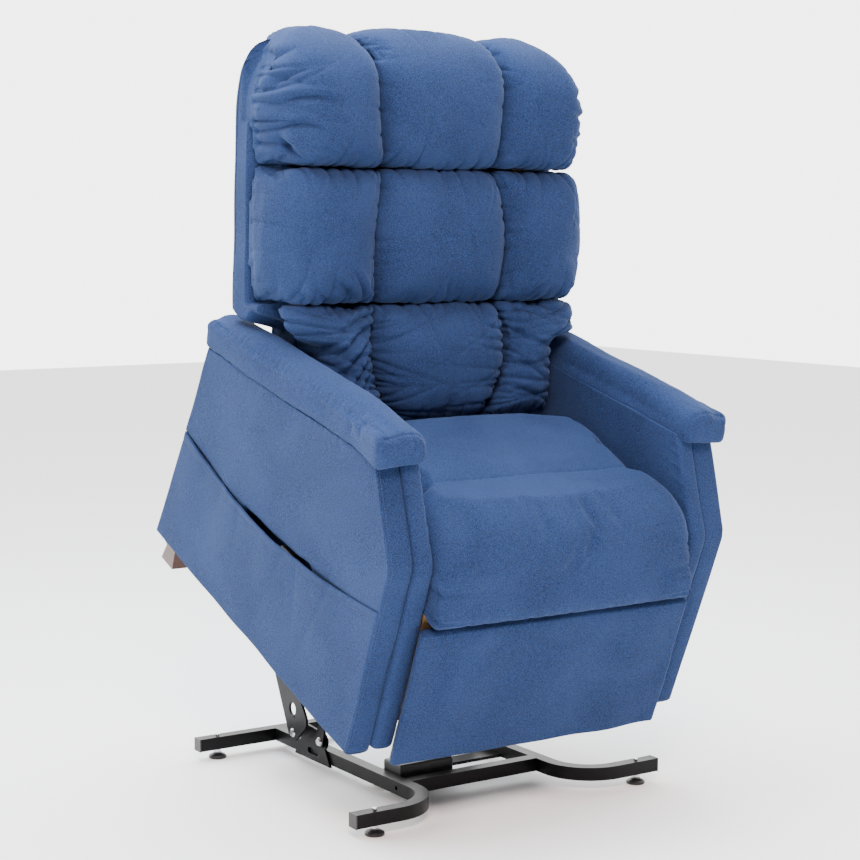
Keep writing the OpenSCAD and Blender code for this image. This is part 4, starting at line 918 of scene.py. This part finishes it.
def arm_pad(hand):
    """The pad on top of the arm: one section with an upright band outside and a crowned top, carried down the arm's
    slope. At both ends it is drawn in by edge(d, 22, 20), and its nose is 10 mm wider and droops by 5 mm."""
    snug = 2
    start, end = -34.0, 652.0
    low = seat_half + 0.6
    section = smooth_loop([(low + 14, 1), (low + 40, 0), (PANEL - 6, -2), (PANEL + 3, -2.5), (PANEL + 5, 8),
                           (PANEL + 6, 28), (PANEL + 7, 40), (PANEL + 7, 50), (PANEL + 2, 58), (PANEL - 14, 63),
                           (PANEL - 40, 67), (low + 22, 64), (low + 6, 54), (low - 1, 38), (low, 18),
                           (low + 4, 6)], 150)
    middle = np.array([(low + PANEL) / 2 + 4, 33])
    t = start + (end - start) * spaced(150)
    drawn = edge(t - start, 20, 17) + edge(end - t, 24, 22) + snug
    reach = np.array([48.0, 33.0])
    rings = np.empty((150, 150, 3))
    local = middle + (section - middle) * (1 - drawn[:, None, None] / reach)
    nose = (1 - ramp(t, start, start + 130))[:, None]
    local[:, :, 0] += 9 * nose * ramp(local[:, :, 0], middle[0], PANEL)
    local[:, :, 1] -= 5 * nose
    rings[:, :, 0] = local[:, :, 0]
    c, s = math.cos(FALL), math.sin(FALL)
    rings[:, :, 1] = ARM_TOP[0] + t[:, None] * c + local[:, :, 1] * s
    rings[:, :, 2] = ARM_TOP[1] - t[:, None] * s + local[:, :, 1] * c
    made = skin("arm_pad_cover_" + hand, mirrored(rings, hand), chair, "chair")

    def slope_axes(p):
        a, b = p[:, 1] - ARM_TOP[0], p[:, 2] - ARM_TOP[1]
        return a * c - b * s, a * s + b * c

    def keep_in(p):
        along, height = slope_axes(p)
        height = np.clip(height, -2.8, 72)
        along = np.clip(along, start - 3, end + 2)
        p[:, 1] = ARM_TOP[0] + along * c + height * s
        p[:, 2] = ARM_TOP[1] - along * s + height * c
        p[:, 0] = np.sign(p[:, 0]) * np.clip(np.abs(p[:, 0]), low - 2, PANEL + 18)
        return p

    plump(made, 5.5, 14, keep_in, lambda p: ramp(slope_axes(p)[1], 8, 34))
    points = points_of(made)
    along, height = slope_axes(points)
    out = np.abs(points[:, 0])
    ridge = ramp(out, PANEL - 12, PANEL - 2)
    depth = ridge * (1.2 * np.exp(-np.abs(height - 33) / 2.2))
    flange = ramp(height, 42, 52)
    depth += flange * (3.6 * np.exp(-np.abs(out - PANEL + 1) / 2.6) + 4.0 * np.exp(-((out - PANEL + 16) / 12) ** 2))
    depth += flange * gathers(along, np.abs(out - PANEL + 1), 81, 40, (start, end), 10, 3.6, 1.2)
    cap = ramp(height, 20, 34)
    depth += cap * 2.0 * np.exp(-np.abs(along - start - 10) / 2.0)
    depth += gathers(out, np.abs(along - start - 10), 82, 12, (low, PANEL + 10), 12, 3.6, 1.6) * cap
    depth += waves(points, 83, 150, 1.4)
    dent(made, depth)
    settle(made, "arm_pad_" + hand, fill=0.85)


for hand in ("left", "right"):
    outer_panel(hand)
    front_strip(hand)
    inner_roll(hand)
    arm_pad(hand)

# ---- Side pocket ----


def side_pocket():
    """The pocket's loose front: rings from front to rear, each up the outside to the mouth, over a rolled hem and
    down the inside. It stands off by 9 sin(pi p)^1.3 (v / mouth)^1.7, most in the middle of its mouth."""
    p = np.concatenate([spaced(20)[:10] * 0.03, np.linspace(0.016, 0.984, 180), 1 - spaced(20)[:10][::-1] * 0.03])
    up = np.linspace(0, 1, 90)
    u = (0.8 + p * 811)[:, None] - up * (3.5 + 53 * p[:, None] ** 3)
    top = mouth(u)
    v = 0.8 + (top - 0.8) * up
    gape = 9 * (np.sin(math.pi * p)[:, None] ** 1.3) * up ** 1.7 + 1.3 * np.sin(math.pi * p)[:, None] ** 0.4
    hem = 1.1 * ramp(up, 0.94, 0.95)
    outside = PANEL + 0.4 + gape + hem - edge((1 - p)[:, None] * 800, 7, 3) - edge(p[:, None] * 800, 5, 2.4)
    thick = 2.0 + hem * 2
    inside = outside - thick
    front = np.stack([outside, u, v], -1)
    behind = np.stack([inside, u, v - 0.6 * ramp(up, 0.9, 1)], -1)[:, ::-1]
    rings = mirrored(np.concatenate([front, behind], 1), "left")
    made = skin("side_pocket_front", rings, chair, "chair")
    points = points_of(made)
    depth = gathers(points[:, 1], np.abs(mouth(points[:, 1]) - points[:, 2]), 91, 7, (120, 700), 90, 14, 1.5, 0.5)
    depth += waves(points, 92, 140, 1.2) - 0.3
    outward = np.array([-1.0, 0, 0])
    move_points(made, points - outward * depth[:, None])
    settle(made, "pocket_panel")
    u = np.linspace(20, 745, 160)
    p = (u + 3) / 800
    x = PANEL + 2.4 + 9 * np.sin(math.pi * np.clip(p, 0, 1)) ** 1.3 * 0.9
    stitches("pocket_hem_stitches", mirrored(np.stack([x, u, mouth(u) - 14], -1), "left"), chair, "chair")


side_pocket()

# ---- Floor and light ----

floor_mesh = bpy.data.meshes.new("floor")
floor_mesh.from_pydata([(-9, -7, 0), (9, -7, 0), (9, 11, 0), (-9, 11, 0)], [], [(0, 1, 2, 3)])
floor = bpy.data.objects.new("floor", floor_mesh)
scene.collection.objects.link(floor)
paper, tree, shader, at = finish_of("matt_backdrop_paper")
fibre = add(tree, "ShaderNodeTexNoise", {"Scale": 300, "Detail": 2}, {"Vector": (at, "Object")})
bump = add(tree, "ShaderNodeBump", {"Strength": 0.03, "Distance": 0.0005}, {"Height": (fibre, "Fac")})
tree.links.new(bump.outputs[0], shader.inputs["Normal"])
shader.inputs["Base Color"].default_value = colour("#fcfcfc")
shader.inputs["Roughness"].default_value = 0.9
floor_mesh.materials.append(paper)

world = bpy.data.worlds.new("studio")
scene.world = world
world.use_nodes = True
tree = world.node_tree
background = tree.nodes["Background"]
sky = add(tree, "ShaderNodeTexCoord")
towards = add(tree, "ShaderNodeVectorMath", {1: (0.45, 0.85, 0.12)}, {0: (sky, "Generated")}, operation="DOT_PRODUCT")
lit = add(tree, "ShaderNodeMapRange", {"From Min": -0.35, "From Max": 0.6, "To Min": 0.06, "To Max": 4.8},
          {"Value": (towards, "Value")}, interpolation_type="SMOOTHSTEP")
tree.links.new(lit.outputs[0], background.inputs["Strength"])
background.inputs["Color"].default_value = (1, 1, 1, 1)


def softbox(name, place, power, size, tint, target=(0, 0, 0.8)):
    """A square area light, size metres wide, that faces a target."""
    lamp = bpy.data.objects.new(name, bpy.data.lights.new(name, "AREA"))
    lamp.data.energy, lamp.data.size, lamp.data.color = power, size, colour(tint)[:3]
    lamp.location = place
    lamp.rotation_euler = (Vector(target) - Vector(place)).to_track_quat("-Z", "Y").to_euler()
    scene.collection.objects.link(lamp)


softbox("overhead_softbox", (-0.4, 0.3, 3.4), 200, 2.6, "#dff0ff")
softbox("side_softbox", (-3.6, 0.4, 2.0), 50, 1.8, "#fff6ee")
softbox("front_softbox", (-1.9, -3.3, 3.7), 300, 1.6, "#ffe6dc", (0, 0, 1.1))
